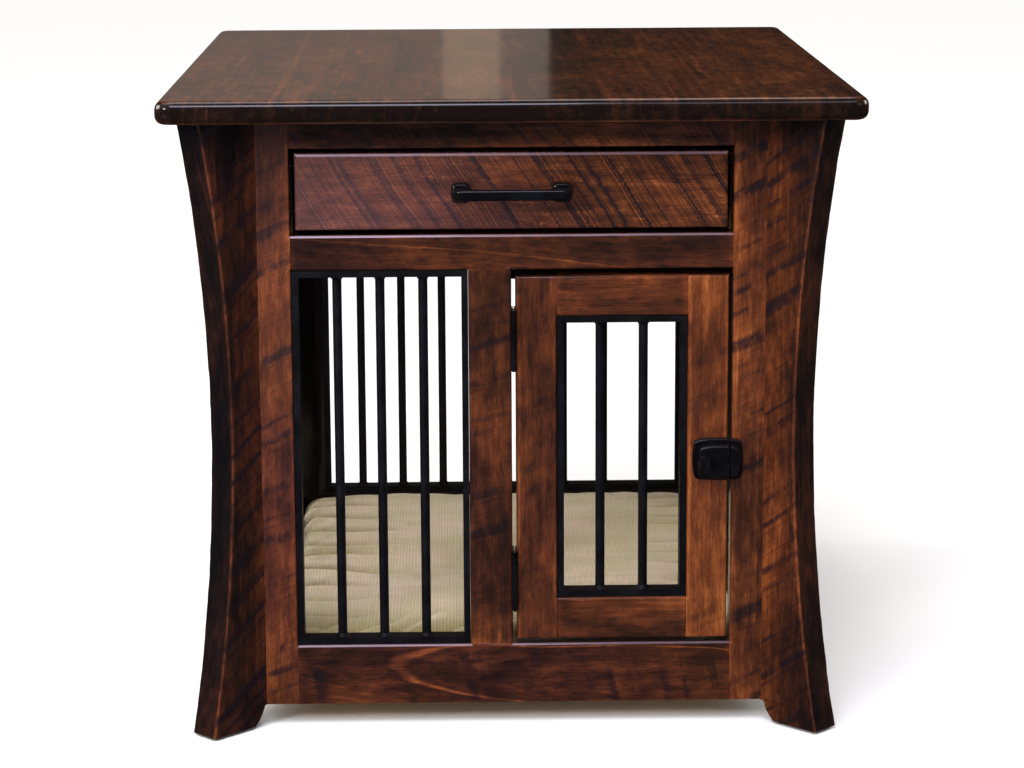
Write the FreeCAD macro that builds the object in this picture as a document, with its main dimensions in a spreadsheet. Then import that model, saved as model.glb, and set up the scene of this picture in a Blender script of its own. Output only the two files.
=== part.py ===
import FreeCAD, Part
import math
import os
import Sketcher
from FreeCAD import Placement, Rotation, Vector

# Crate end table: a hardwood end table whose lower part is a small-dog crate.
# Origin at the middle of the outline on the floor, +Z up, the door and the
# drawer face -Y.  All sizes in millimetres.

os.makedirs("parts", exist_ok=True)
doc = FreeCAD.newDocument("CrateEndTable")

# ----------------------------------------------------------------- dimensions
SIZES = [
    ("top_wide", 660, "table top, side to side"),
    ("top_deep", 780, "table top, front to back"),
    ("top_thick", 22, "table top thickness"),
    ("top_under", 598, "underside of the table top above the floor"),
    ("top_edge", 8, "round on the long edges of the top"),
    ("top_corner", 14, "round on the corners of the top"),
    ("case_half", 242, "half the face frame, stile edge to middle"),
    ("face_y", 325, "face frame front to the middle"),
    ("board", 22, "thickness of the frame boards"),
    ("ease", 3.2, "round routed on the front edges of every opening"),
    ("stile_wide", 31.5, "face frame stile width"),
    ("rail_low", 22, "underside of the bottom rails"),
    ("rail_top", 81.5, "upper edge of the bottom rails"),
    ("open_top", 451, "upper edge of the crate openings"),
    ("drawer_low", 485, "lower edge of the drawer opening"),
    ("drawer_high", 567.5, "upper edge of the drawer opening"),
    ("mull_left", -42, "left edge of the centre post"),
    ("mull_right", -0.8, "right edge of the centre post"),
    ("tenon", 12, "tenon length"),
    ("tenon_thick", 8, "tenon thickness"),
    ("leg_thick", 33, "leg plank thickness"),
    ("leg_flare", 69, "leg reach past the corner at its ends"),
    ("leg_waist", 36.5, "leg reach past the corner at the waist"),
    ("waist_high", 300, "height of the waist"),
    ("foot_low", 3, "bottom of the wooden foot"),
    ("foot_heel", 15, "inner end of the foot's sole"),
    ("glide_dia", 15, "foot glide diameter"),
    ("flat_bar", 6.35, "grille flat bar thickness"),
    ("flat_deep", 19, "grille flat bar depth"),
    ("grille_set", 2, "grille set back from the face"),
    ("rod_dia", 9, "grille rod diameter"),
    ("door_left", 3.0, "door left edge"),
    ("door_right", 207.2, "door right edge"),
    ("door_low", 85.3, "door lower edge"),
    ("door_high", 445, "door upper edge"),
    ("door_stile", 39.5, "door stile width"),
    ("door_rail", 39.5, "door top rail width"),
    ("door_foot", 42, "door bottom rail width"),
    ("front_half", 205.5, "half width of the drawer front"),
    ("front_low", 490, "drawer front lower edge"),
    ("front_high", 563, "drawer front upper edge"),
    ("front_ease", 4, "round on the drawer front's edges"),
    ("box_half", 197.8, "half width of the drawer box"),
    ("box_low", 497, "drawer box lower edge"),
    ("box_high", 557, "drawer box upper edge"),
    ("box_side", 12, "drawer box board thickness"),
    ("box_long", 450, "drawer box length"),
    ("box_bottom", 6, "drawer bottom thickness"),
    ("groove", 5, "depth of the drawer bottom groove"),
    ("slide_long", 450, "slide length"),
    ("slide_mid", 527, "height of the slides' middle line"),
    ("slide_tall", 45, "slide height"),
    ("slide_sheet", 1.2, "slide steel thickness"),
    ("ply_floor", 9, "crate floor thickness"),
    ("floor_low", 36, "underside of the crate floor"),
    ("ply_ceiling", 6, "crate ceiling thickness"),
    ("ceiling_low", 455, "underside of the crate ceiling"),
    ("stop_tall", 17, "door stop height"),
    ("stop_thick", 12, "door stop thickness"),
    ("stop_play", 1, "gap between the closed door and its stop"),
    ("cushion_half", 238, "half width of the cushion"),
    ("cushion_deep", 297, "half depth of the cushion"),
    ("cushion_low", 45.4, "underside of the cushion"),
    ("cushion_high", 84, "crown of the cushion"),
    ("hinge_x", 1.1, "door hinge axis, across"),
    ("hinge_out", 3.6, "door hinge axis in front of the face"),
    ("knuckle_dia", 6.4, "hinge knuckle diameter"),
    ("hinge_pin", 3.0, "hinge pin diameter"),
    ("hinge_long", 58, "hinge leaf height"),
    ("leaf_thick", 1.5, "hinge leaf thickness"),
    ("hinge_top", 383.3, "middle of the upper hinge"),
    ("hinge_bottom", 145.6, "middle of the lower hinge"),
    ("pull_high", 525.8, "height of the drawer pull"),
    ("pull_centres", 96, "pull screw spacing"),
    ("latch_high", 265, "height of the latch"),
    ("knob_x", 185.5, "latch knob axis, across"),
]


class Size:
    """A length with its value and the sheet expression that gives it."""

    def __init__(self, value, text):
        self.v = float(value)
        self.e = text

    def __add__(self, o):
        o = size(o)
        return Size(self.v + o.v, "(" + self.e + " + " + o.e + ")")

    def __radd__(self, o):
        return size(o) + self

    def __sub__(self, o):
        o = size(o)
        return Size(self.v - o.v, "(" + self.e + " - " + o.e + ")")

    def __rsub__(self, o):
        return size(o) - self

    def __mul__(self, o):
        o = size(o)
        return Size(self.v * o.v, "(" + self.e + " * " + o.e + ")")

    def __rmul__(self, o):
        return size(o) * self

    def __truediv__(self, o):
        o = size(o)
        return Size(self.v / o.v, "(" + self.e + " / " + o.e + ")")

    def __neg__(self):
        return Size(-self.v, "(0 - " + self.e + ")")


def size(x):
    return x if isinstance(x, Size) else Size(x, "(%.6f)" % float(x))


sheet = doc.addObject("Spreadsheet::Sheet", "Dims")


class Table:
    pass


D = Table()
for row, (alias, value, note) in enumerate(SIZES, 1):
    sheet.set("A%d" % row, alias.replace("_", " "))
    sheet.set("B%d" % row, str(value))
    sheet.setAlias("B%d" % row, alias)
    sheet.set("C%d" % row, note)
    setattr(D, alias, Size(value, "Dims." + alias))
doc.recompute()

ROOT2 = math.sqrt(2.0)
PIECES = {}


def bind(obj, prop, value):
    value = size(value)
    if "Dims" in value.e:
        obj.setExpression(prop, value.e)
    elif prop.startswith("Placement"):
        p = obj.Placement
        setattr(p.Base, prop[-1], value.v)
        obj.Placement = p
    else:
        setattr(obj, prop, value.v)


def keep(obj, name):
    """Name a finished sub-part."""
    obj.Label = name
    PIECES[name] = obj
    return obj


def box(name, x0, x1, y0, y1, z0, z1):
    x0, x1, y0, y1, z0, z1 = map(size, (x0, x1, y0, y1, z0, z1))
    b = doc.addObject("Part::Box", name)
    b.Placement = Placement(Vector(x0.v, y0.v, z0.v), Rotation())
    bind(b, "Length", x1 - x0)
    bind(b, "Width", y1 - y0)
    bind(b, "Height", z1 - z0)
    for axis, at in (("x", x0), ("y", y0), ("z", z0)):
        if "Dims" in at.e:
            b.setExpression("Placement.Base." + axis, at.e)
    return b


def round_bar(name, radius, height, x, y, z, axis="z", radius2=None):
    """A cylinder, or a cone when radius2 is given, standing at x, y, z."""
    x, y, z = map(size, (x, y, z))
    c = doc.addObject("Part::Cylinder" if radius2 is None else "Part::Cone", name)
    turn = {
        "z": Rotation(),
        "-z": Rotation(Vector(1, 0, 0), 180),
        "x": Rotation(Vector(0, 1, 0), 90),
        "-x": Rotation(Vector(0, 1, 0), -90),
        "y": Rotation(Vector(1, 0, 0), -90),
        "-y": Rotation(Vector(1, 0, 0), 90),
    }[axis]
    c.Placement = Placement(Vector(x.v, y.v, z.v), turn)
    if radius2 is None:
        bind(c, "Radius", radius)
    else:
        bind(c, "Radius1", radius)
        bind(c, "Radius2", radius2)
    bind(c, "Height", height)
    for ax, at in (("x", x), ("y", y), ("z", z)):
        if "Dims" in at.e:
            c.setExpression("Placement.Base." + ax, at.e)
    return c


def fuse(name, shapes):
    f = doc.addObject("Part::MultiFuse", name)
    f.Shapes = shapes
    return f


def cut(name, base, tool):
    c = doc.addObject("Part::Cut", name)
    c.Base = base
    if isinstance(tool, list):
        tool = tool[0] if len(tool) == 1 else fuse(name + "_tools", tool)
    c.Tool = tool
    return c


def common(name, base, tool):
    c = doc.addObject("Part::Common", name)
    c.Base = base
    c.Tool = tool
    return c


def group(name, shapes):
    g = doc.addObject("Part::Compound", name)
    g.Links = shapes
    return g


def plane_of(body, role):
    for f in body.Origin.OriginFeatures:
        if getattr(f, "Role", "") == role:
            return f
    raise RuntimeError("no plane " + role)


def outline(body, name, role, loops, lift=0):
    """A sketch of closed loops.  A loop is a list of corners (x, y); a corner
    with a third and fourth value is reached by an arc through that point."""
    s = body.newObject("Sketcher::SketchObject", name)
    s.AttachmentSupport = [(plane_of(body, role), "")]
    s.MapMode = "FlatFace"
    lift = size(lift)
    s.AttachmentOffset = Placement(Vector(0, 0, lift.v), Rotation())
    if "Dims" in lift.e:
        s.setExpression("AttachmentOffset.Base.z", lift.e)
    for loop in loops:
        first = s.GeometryCount
        n = len(loop)
        ends = []
        for i in range(n):
            a, b = loop[i], loop[(i + 1) % n]
            ax, ay, bx, by = (size(q).v for q in (a[0], a[1], b[0], b[1]))
            if len(b) > 2:
                mx, my = size(b[2]).v, size(b[3]).v
                d = 2.0 * (ax * (my - by) + mx * (by - ay) + bx * (ay - my))
                qa, qm, qb = ax * ax + ay * ay, mx * mx + my * my, bx * bx + by * by
                cx = (qa * (my - by) + qm * (by - ay) + qb * (ay - my)) / d
                cy = (qa * (bx - mx) + qm * (ax - bx) + qb * (mx - ax)) / d
                circle = Part.Circle(Vector(cx, cy, 0), Vector(0, 0, 1), math.hypot(ax - cx, ay - cy))
                ta, tb = math.atan2(ay - cy, ax - cx), math.atan2(by - cy, bx - cx)
                left_turn = (mx - ax) * (by - ay) - (my - ay) * (bx - ax) > 0
                t0, t1 = (ta, tb) if left_turn else (tb, ta)
                if t1 < t0:
                    t1 += 2 * math.pi
                g = s.addGeometry(Part.ArcOfCircle(circle, t0, t1), False)
                ends.append((g, 1, 2) if left_turn else (g, 2, 1))
            else:
                g = s.addGeometry(Part.LineSegment(Vector(ax, ay, 0), Vector(bx, by, 0)), False)
                ends.append((g, 1, 2))
        for i in range(n):
            g, p0, p1 = ends[i]
            h, q0, q1 = ends[(i + 1) % n]
            s.addConstraint(Sketcher.Constraint("Coincident", g, p1, h, q0))
        for i in range(n):
            g, p0, _ = ends[i]
            for kind, value in (("DistanceX", size(loop[i][0])), ("DistanceY", size(loop[i][1]))):
                k = s.addConstraint(Sketcher.Constraint(kind, -1, 1, g, p0, value.v))
                if "Dims" in value.e:
                    s.setExpression("Constraints[%d]" % k, value.e)
        for i in range(n):
            b = loop[(i + 1) % n]
            if len(b) > 2:
                mid = s.addGeometry(Part.Point(Vector(size(b[2]).v, size(b[3]).v, 0)), True)
                s.addConstraint(Sketcher.Constraint("PointOnObject", mid, 1, ends[i][0]))
                for kind, value in (("DistanceX", size(b[2])), ("DistanceY", size(b[3]))):
                    k = s.addConstraint(Sketcher.Constraint(kind, -1, 1, mid, 1, value.v))
                    if "Dims" in value.e:
                        s.setExpression("Constraints[%d]" % k, value.e)
    return s


def rect(x0, x1, y0, y1):
    return [(x0, y0), (x1, y0), (x1, y1), (x0, y1)]


def pad(body, name, sketch, length, reverse=False):
    p = body.newObject("PartDesign::Pad", name)
    p.Profile = sketch
    bind(p, "Length", length)
    p.Reversed = reverse
    doc.recompute()
    return p


def pocket(body, name, sketch, length, reverse=False):
    before = body.Shape.Volume
    p = body.newObject("PartDesign::Pocket", name)
    p.Profile = sketch
    bind(p, "Length", length)
    p.Reversed = reverse
    doc.recompute()
    if not p.Shape.Volume < before - 1e-3:
        raise RuntimeError(name + " cuts nothing")
    return p


def edges(shape, test):
    out = []
    for i, e in enumerate(shape.Edges, 1):
        mid = e.valueAt((e.FirstParameter + e.LastParameter) / 2.0)
        ends = [v.Point for v in e.Vertexes]
        if test(e, mid, ends):
            out.append("Edge%d" % i)
    if not out:
        raise RuntimeError("no edges found")
    return out


def ease(body, name, radius, test):
    base = body.Tip
    f = body.newObject("PartDesign::Fillet", name)
    f.Base = (base, edges(base.Shape, test))
    bind(f, "Radius", radius)
    doc.recompute()
    if "Invalid" in f.State or "Error" in f.State or f.Shape.isNull() or not f.Shape.isValid():
        raise RuntimeError("round failed: " + name)
    return f


def near(a, b, tol=0.02):
    return abs(a - b) < tol


def place(obj, x=0, y=0, z=0, turn=0.0):
    x, y, z = map(size, (x, y, z))
    obj.Placement = Placement(Vector(x.v, y.v, z.v), Rotation(Vector(0, 0, 1), turn))
    for ax, at in (("x", x), ("y", y), ("z", z)):
        if "Dims" in at.e:
            obj.setExpression("Placement.Base." + ax, at.e)
    return obj


# ------------------------------------------------------------------ table top
body = doc.addObject("PartDesign::Body", "TopPanel")
s = outline(body, "TopOutline", "XY_Plane",
            [rect(-D.top_wide / 2, D.top_wide / 2, -D.top_deep / 2, D.top_deep / 2)])
pad(body, "TopBoard", s, D.top_thick)
ease(body, "TopCorners", D.top_corner,
     lambda e, m, p: near(m.z, D.top_thick.v / 2))
ease(body, "TopEdges", D.top_edge,
     lambda e, m, p: near(m.z, D.top_thick.v) or near(m.z, 0))
place(body, z=D.top_under)
keep(body, "top_panel")

# ----------------------------------------------------------------------- legs
# Each leg is a plank on edge, set at 45 degrees across a corner of the case.
# Its outer edge is sawn to one long hollow arc, its foot drops below the case.
inside = D.board * ROOT2
corner_x = D.case_half + D.leg_thick / (2 * ROOT2)
corner_y = D.face_y - D.leg_thick / (2 * ROOT2)


def leg(name, sx, sy, turn):
    b = doc.addObject("PartDesign::Body", name.title().replace("_", ""))
    sk = outline(b, name + "_outline", "XZ_Plane", [[
        (-inside, D.rail_low),
        (2.5, D.rail_low),
        (D.foot_heel, D.foot_low, 7.4, 11.0),
        (D.leg_flare - 1, D.foot_low),
        (D.leg_flare, D.top_under, D.leg_waist, D.waist_high),
        (-inside, D.top_under),
    ]])
    pad(b, name + "_plank", sk, D.leg_thick)
    ease(b, name + "_arris", 3.0,
         lambda e, m, p: e.Length > 400 and m.x > 20)
    hole = round_bar(name + "_nail_hole", 1.6, 13, 50, -D.leg_thick / 2, D.foot_low - 0.5)
    done = cut(name + "_drilled", b, hole)
    # the plank's middle plane goes through the case corner
    shift = Vector(0, D.leg_thick.v / 2, 0)
    rot = Rotation(Vector(0, 0, 1), turn)
    done.Placement = Placement(Vector(sx * corner_x.v, sy * corner_y.v, 0) + rot.multVec(shift), rot)
    k = ROOT2 / 2
    ang = math.radians(turn)
    dx, dy = -math.sin(ang), math.cos(ang)
    done.setExpression("Placement.Base.x", (corner_x * sx + D.leg_thick / 2 * dx).e)
    done.setExpression("Placement.Base.y", (corner_y * sy + D.leg_thick / 2 * dy).e)
    return keep(done, name)


leg("leg_front_left", -1, -1, 225)
leg("leg_front_right", 1, -1, 315)
leg("leg_rear_left", -1, 1, 135)
leg("leg_rear_right", 1, 1, 45)

# black nail-on glides, one under each foot
glides = []
for sx in (-1, 1):
    for sy in (-1, 1):
        gx = corner_x * sx + 50 / ROOT2 * sx
        gy = corner_y * sy + 50 / ROOT2 * sy
        disc = round_bar("glide_disc", D.glide_dia / 2, 2, gx, gy, 1)
        dome = round_bar("glide_dome", D.glide_dia / 2 - 2, 1, gx, gy, 0, "z", D.glide_dia / 2)
        nail = round_bar("glide_nail", 1.5, 11, gx, gy, 2.5)
        glides.append(fuse("glide", [disc, dome, nail]))
keep(group("FootGlides", glides), "foot_glides")


# ----------------------------------------------------------------- case frames
def frame_blank(name, half, openings, low, high, mitre=True, eased_outside=False):
    """One frame as glued up and routed: a board with its openings cut and the
    front edge of every opening rounded.  X across, Y inward, Z up."""
    b = doc.addObject("PartDesign::Body", name)
    half0, half1 = half
    inner0, inner1 = (half0 + D.board, half1 - D.board) if mitre else (half0, half1)
    sk = outline(b, name + "_section", "XY_Plane",
                 [[(half0, 0), (half1, 0), (inner1, D.board), (inner0, D.board)]], low)
    pad(b, name + "_board", sk, high - low)
    holes = outline(b, name + "_openings", "XZ_Plane", [rect(*o) for o in openings])
    pocket(b, name + "_cutouts", holes, D.board + 1)
    lim = [[size(v).v for v in o] for o in openings]

    def rim(e, m, p):
        if not near(m.y, 0) or not all(near(q.y, 0) for q in p):
            return False
        for x0, x1, z0, z1 in lim:
            if x0 - 0.1 < m.x < x1 + 0.1 and z0 - 0.1 < m.z < z1 + 0.1:
                return True
        return eased_outside

    ease(b, name + "_rounds", D.ease, rim)
    return b


def tenon(name, x0, x1, z0, z1):
    y0 = D.board / 2 - D.tenon_thick / 2
    return box(name, x0, x1, y0, y0 + D.tenon_thick, z0, z1)


def member(name, blank, region, own, other, put, extra=None, final=True):
    """A stile or rail: its part of the routed frame, its own tenons, and the
    mortises that take its neighbours' tenons."""
    shape = common(name + "_piece", blank, box(name + "_region", *region))
    if own:
        shape = fuse(name + "_tenoned", [shape] + own)
    if other:
        shape = cut(name + "_mortised", shape, list(other))
    put(shape)
    if final:
        keep(shape, name)
    return shape


def full_frame(prefix, names, half, opening, put):
    """A frame with one grille opening: two stiles, a wide top rail, a bottom rail."""
    inner = half - D.stile_wide
    blank = frame_blank(prefix + "Blank", (-half, half), [opening], D.rail_low, D.top_under)
    t = {}
    for side, sg in (("l", -1), ("r", 1)):
        a, b = (-inner - D.tenon, -inner) if sg < 0 else (inner, inner + D.tenon)
        t["top" + side] = tenon(prefix + "_tt" + side, a, b, D.open_top + 25, D.top_under - 25)
        t["low" + side] = tenon(prefix + "_tl" + side, a, b, D.rail_low + 10, D.rail_top - 10)
    y0, y1 = -1, D.board + 1
    member(names[0], blank, (-half - 1, -inner, y0, y1, D.rail_low, D.top_under), [],
           [t["topl"], t["lowl"]], put)
    member(names[1], blank, (inner, half + 1, y0, y1, D.rail_low, D.top_under), [],
           [t["topr"], t["lowr"]], put)
    member(names[2], blank, (-inner, inner, y0, y1, D.open_top, D.top_under),
           [t["topl"], t["topr"]], [], put)
    member(names[3], blank, (-inner, inner, y0, y1, D.rail_low, D.rail_top),
           [t["lowl"], t["lowr"]], [], put)


front_in = D.case_half - D.stile_wide
side_plane = D.case_half + D.leg_thick / ROOT2
side_half = D.face_y - D.leg_thick / ROOT2
side_in = side_half - D.stile_wide


def put_front(o):
    return place(o, 0, -D.face_y, 0, 0)


def put_back(o):
    return place(o, 0, D.face_y, 0, 180)


def put_left(o):
    return place(o, -side_plane, 0, 0, -90)


def put_right(o):
    return place(o, side_plane, 0, 0, 90)


# face frame: full-height stiles, three rails and the centre post
blank = frame_blank("FaceFrame", (-D.case_half, D.case_half), [
    (-front_in, front_in, D.drawer_low, D.drawer_high),
    (-front_in, D.mull_left, D.rail_top, D.open_top),
    (D.mull_right, front_in, D.rail_top, D.open_top),
], D.rail_low, D.top_under)
T = {}
for side, a, b in (("l", -front_in - D.tenon, -front_in), ("r", front_in, front_in + D.tenon)):
    T["top" + side] = tenon("ff_top" + side, a, b, D.drawer_high + 6, D.top_under - 6)
    T["mid" + side] = tenon("ff_mid" + side, a, b, D.open_top + 6, D.drawer_low - 6)
    T["low" + side] = tenon("ff_low" + side, a, b, D.rail_low + 10, D.rail_top - 10)
T["post_low"] = tenon("ff_post_low", D.mull_left + 8, D.mull_right - 8, D.rail_top - D.tenon, D.rail_top)
T["post_top"] = tenon("ff_post_top", D.mull_left + 8, D.mull_right - 8, D.open_top, D.open_top + D.tenon)
Y0, Y1 = -1, D.board + 1
member("front_stile_left", blank, (-D.case_half - 1, -front_in, Y0, Y1, D.rail_low, D.top_under),
       [], [T["topl"], T["midl"], T["lowl"]], put_front)
member("front_stile_right", blank, (front_in, D.case_half + 1, Y0, Y1, D.rail_low, D.top_under),
       [], [T["topr"], T["midr"], T["lowr"]], put_front)
member("front_top_rail", blank, (-front_in, front_in, Y0, Y1, D.drawer_high, D.top_under),
       [T["topl"], T["topr"]], [], put_front)
member("front_middle_rail", blank, (-front_in, front_in, Y0, Y1, D.open_top, D.drawer_low),
       [T["midl"], T["midr"]], [T["post_top"]], put_front)
member("front_bottom_rail", blank, (-front_in, front_in, Y0, Y1, D.rail_low, D.rail_top),
       [T["lowl"], T["lowr"]], [T["post_low"]], put_front)
post = member("front_centre_post", blank, (D.mull_left, D.mull_right, Y0, Y1, D.rail_top, D.open_top),
              [T["post_low"], T["post_top"]], [], put_front, final=False)

full_frame("Back", ["back_stile_right", "back_stile_left", "back_top_rail", "back_bottom_rail"],
           D.case_half, (-front_in, front_in, D.rail_top, D.open_top), put_back)
full_frame("Left", ["left_rear_stile", "left_front_stile", "left_top_rail", "left_bottom_rail"],
           side_half, (-side_in, side_in, D.rail_top, D.open_top), put_left)
full_frame("Right", ["right_front_stile", "right_rear_stile", "right_top_rail", "right_bottom_rail"],
           side_half, (-side_in, side_in, D.rail_top, D.open_top), put_right)


# -------------------------------------------------------------------- grilles
def grille(name, x0, x1, z0, z1, count, pitch, put):
    """A welded grille: a flat-bar frame on edge and upright round rods, with a
    weld bead round each rod end."""
    play = 0.2
    x0, x1, z0, z1 = size(x0) + play, size(x1) - play, size(z0) + play, size(z1) - play
    y0, y1 = D.grille_set, D.grille_set + D.flat_deep
    ring = cut(name + "_ring",
               box(name + "_outer", x0, x1, y0, y1, z0, z1),
               box(name + "_inner", x0 + D.flat_bar, x1 - D.flat_bar, y0 - 1, y1 + 1,
                   z0 + D.flat_bar, z1 - D.flat_bar))
    parts = [ring]
    mid = (x0 + x1) / 2
    ym = (y0 + y1) / 2
    low, high = z0 + D.flat_bar, z1 - D.flat_bar
    for i in range(count):
        x = mid + (i - (count - 1) / 2.0) * pitch
        parts.append(round_bar("%s_rod%d" % (name, i), D.rod_dia / 2, high - low, x, ym, low))
        parts.append(round_bar("%s_bead_low%d" % (name, i), D.rod_dia / 2 + 2.4, 3.2, x, ym, low, "z",
                               D.rod_dia / 2 + 0.05))
        parts.append(round_bar("%s_bead_top%d" % (name, i), D.rod_dia / 2 + 2.4, 3.2, x, ym, high, "-z",
                               D.rod_dia / 2 + 0.05))
    g = fuse(name + "_weldment", parts)
    put(g)
    return keep(g, name)


grille("front_grille", -front_in, D.mull_left, D.rail_top, D.open_top, 3, 41.0, put_front)
door_in0, door_in1 = D.door_left + D.door_stile, D.door_right - D.door_stile
door_z0, door_z1 = D.door_low + D.door_foot, D.door_high - D.door_rail
grille("door_grille", door_in0, door_in1, door_z0, door_z1, 2, 41.5, put_front)
grille("back_grille", -front_in, front_in, D.rail_top, D.open_top, 8, 47.5, put_back)
grille("left_grille", -side_in, side_in, D.rail_top, D.open_top, 11, 45.0, put_left)
grille("right_grille", -side_in, side_in, D.rail_top, D.open_top, 11, 45.0, put_right)

# ----------------------------------------------------------- floor and ceiling
case_x = side_plane - D.board
case_y = D.face_y - D.board
nip = D.leg_thick / ROOT2 + 0.5


def deck(name, low, thick, play=0.3):
    b = doc.addObject("PartDesign::Body", name.title().replace("_", ""))
    x, y = case_x - play, case_y - play
    sk = outline(b, name + "_outline", "XY_Plane", [[
        (-x + nip, -y), (x - nip, -y), (x, -y + nip), (x, y - nip),
        (x - nip, y), (-x + nip, y), (-x, y - nip), (-x, -y + nip)]])
    pad(b, name + "_sheet", sk, thick)
    place(b, z=low)
    return keep(b, name)


deck("crate_floor", D.floor_low, D.ply_floor)
deck("crate_ceiling", D.ceiling_low, D.ply_ceiling)
# door stop: a bar under the ceiling, just behind the closed door's top edge
bar = doc.addObject("PartDesign::Body", "DoorStop")
sk = outline(bar, "DoorStopOutline", "XY_Plane",
             [rect(D.mull_right - 8, front_in + 8, -case_y + D.stop_play, -case_y + D.stop_play + D.stop_thick)])
pad(bar, "DoorStopBar", sk, D.stop_tall)
ease(bar, "DoorStopEdges", 2, lambda e, m, p: near(m.z, 0))
place(bar, z=D.ceiling_low - D.stop_tall)
keep(bar, "door_stop")
cl = D.floor_low - 12
keep(group("FloorCleats", [
    box("cleat_left", -case_x, -case_x + 15, -270, 270, cl, D.floor_low),
    box("cleat_right", case_x - 15, case_x, -270, 270, cl, D.floor_low),
    box("cleat_front", -205, 205, -case_y, -case_y + 15, cl, D.floor_low),
    box("cleat_back", -205, 205, case_y - 15, case_y, cl, D.floor_low),
]), "floor_cleats")
runner_low = D.ceiling_low + D.ply_ceiling
keep(group("RunnerBlocks", [
    box("runner_left", -case_x, -front_in, -278, 278, runner_low, 556),
    box("runner_right", front_in, case_x, -278, 278, runner_low, 556),
]), "runner_blocks")

# steel angles that hold the top to the side rails
angles = []
for sg in (-1, 1):
    for yy in (-190, 0, 190):
        x_wall = case_x * sg
        a = box("angle_wall", x_wall if sg < 0 else x_wall - 2, x_wall + 2 if sg < 0 else x_wall,
                yy - 9, yy + 9, D.top_under - 22, D.top_under)
        b = box("angle_top", x_wall if sg < 0 else x_wall - 22, x_wall + 22 if sg < 0 else x_wall,
                yy - 9, yy + 9, D.top_under - 2, D.top_under)
        h1 = round_bar("angle_hole", 2.2, 6, x_wall - 3, yy, D.top_under - 12, "x")
        h2 = round_bar("angle_hole", 2.2, 6, x_wall + (13 if sg < 0 else -13), yy, D.top_under - 4)
        angles.append(cut("angle", fuse("angle_blank", [a, b]), [h1, h2]))
keep(group("TopAngles", angles), "top_angles")

# --------------------------------------------------------------------- cushion
body = doc.addObject("PartDesign::Body", "Cushion")
s = outline(body, "CushionOutline", "XY_Plane",
            [rect(-D.cushion_half, D.cushion_half, -D.cushion_deep, D.cushion_deep)])
tall = D.cushion_high - D.cushion_low
pad(body, "CushionBlock", s, tall)
ease(body, "CushionCorners", 45, lambda e, m, p: near(m.z, tall.v / 2))
ease(body, "CushionEdges", 16, lambda e, m, p: near(m.z, 0) or near(m.z, tall.v))
place(body, z=D.cushion_low)
keep(body, "cushion")

# ---------------------------------------------------------------------- drawer
body = doc.addObject("PartDesign::Body", "DrawerFront")
s = outline(body, "DrawerFrontOutline", "XZ_Plane",
            [rect(-D.front_half, D.front_half, D.front_low, D.front_high)])
pad(body, "DrawerFrontBoard", s, D.board, True)
ease(body, "DrawerFrontRounds", D.front_ease,
     lambda e, m, p: near(m.y, 0) and all(near(q.y, 0) for q in p))
place(body, y=-D.face_y)
pull_holes = [round_bar("pull_hole", 2.3, 50, sg * D.pull_centres / 2, -D.face_y - 5, D.pull_high, "y")
              for sg in (-1, 1)]
keep(cut("DrawerFrontDrilled", body, pull_holes), "drawer_front")

y_in = -case_y
y_box = y_in + D.box_long
bottom_low = D.box_low + 6
bottom = box("DrawerBottom", -D.box_half + D.box_side - D.groove, D.box_half - D.box_side + D.groove,
             y_in + D.box_side - D.groove, y_box - D.box_side + D.groove,
             bottom_low, bottom_low + D.box_bottom)
keep(bottom, "drawer_bottom")
for name, sg in (("drawer_side_left", -1), ("drawer_side_right", 1)):
    a, b = (-D.box_half, -D.box_half + D.box_side) if sg < 0 else (D.box_half - D.box_side, D.box_half)
    keep(cut(name + "_grooved", box(name + "_board", a, b, y_in, y_box, D.box_low, D.box_high), bottom), name)
inner = D.box_half - D.box_side
sub = box("DrawerInnerFrontBoard", -inner, inner, y_in, y_in + D.box_side, D.box_low, D.box_high)
keep(cut("DrawerInnerFront", cut("DrawerInnerFrontGrooved", sub, bottom),
         [round_bar("pull_hole", 2.3, 50, sg * D.pull_centres / 2, -D.face_y - 5, D.pull_high, "y")
          for sg in (-1, 1)]), "drawer_inner_front")
keep(cut("DrawerBack", box("DrawerBackBoard", -inner, inner, y_box - D.box_side, y_box,
                           D.box_low, D.box_high), bottom), "drawer_back")

# drawer pull: two soft-square feet and a bar across them, cast in one
body = doc.addObject("PartDesign::Body", "DrawerPull")
half = D.pull_centres / 2
s = outline(body, "PullFeet", "XZ_Plane",
            [rect(-half - 9.5, -half + 9.5, -9.5, 9.5), rect(half - 9.5, half + 9.5, -9.5, 9.5)])
pad(body, "PullFeetPad", s, 9)
ease(body, "PullFeetCorners", 5.5, lambda e, m, p: near(m.y, -4.5) and e.Length > 8.5 and e.Length < 9.5)
ease(body, "PullFeetFace", 3.0, lambda e, m, p: near(m.y, -9))
s = outline(body, "PullArch", "XY_Plane", [[
    (-half - 8.5, -5), (-half - 8.5, -28), (half + 8.5, -28), (half + 8.5, -5),
    (half - 4.5, -5), (half - 4.5, -18.5), (-half + 4.5, -18.5), (-half + 4.5, -5)]], -5.25)
pad(body, "PullBar", s, 10.5)
ease(body, "PullEnds", 9.0, lambda e, m, p: near(m.y, -28) and near(m.z, 0))
ease(body, "PullThroat", 5.0, lambda e, m, p: near(m.y, -18.5) and near(m.z, 0))
ease(body, "PullEdges", 2.6, lambda e, m, p: abs(abs(m.z) - 5.25) < 0.02 and m.y < -18.4 - 0.001 and m.y < -12)
place(body, 0, -D.face_y, D.pull_high, 0)
tapped = [round_bar("pull_tap", 2.0, 14, sg * half, -D.face_y - 12, D.pull_high, "y") for sg in (-1, 1)]
keep(cut("DrawerPullTapped", body, tapped), "drawer_pull")
screws = []
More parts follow.
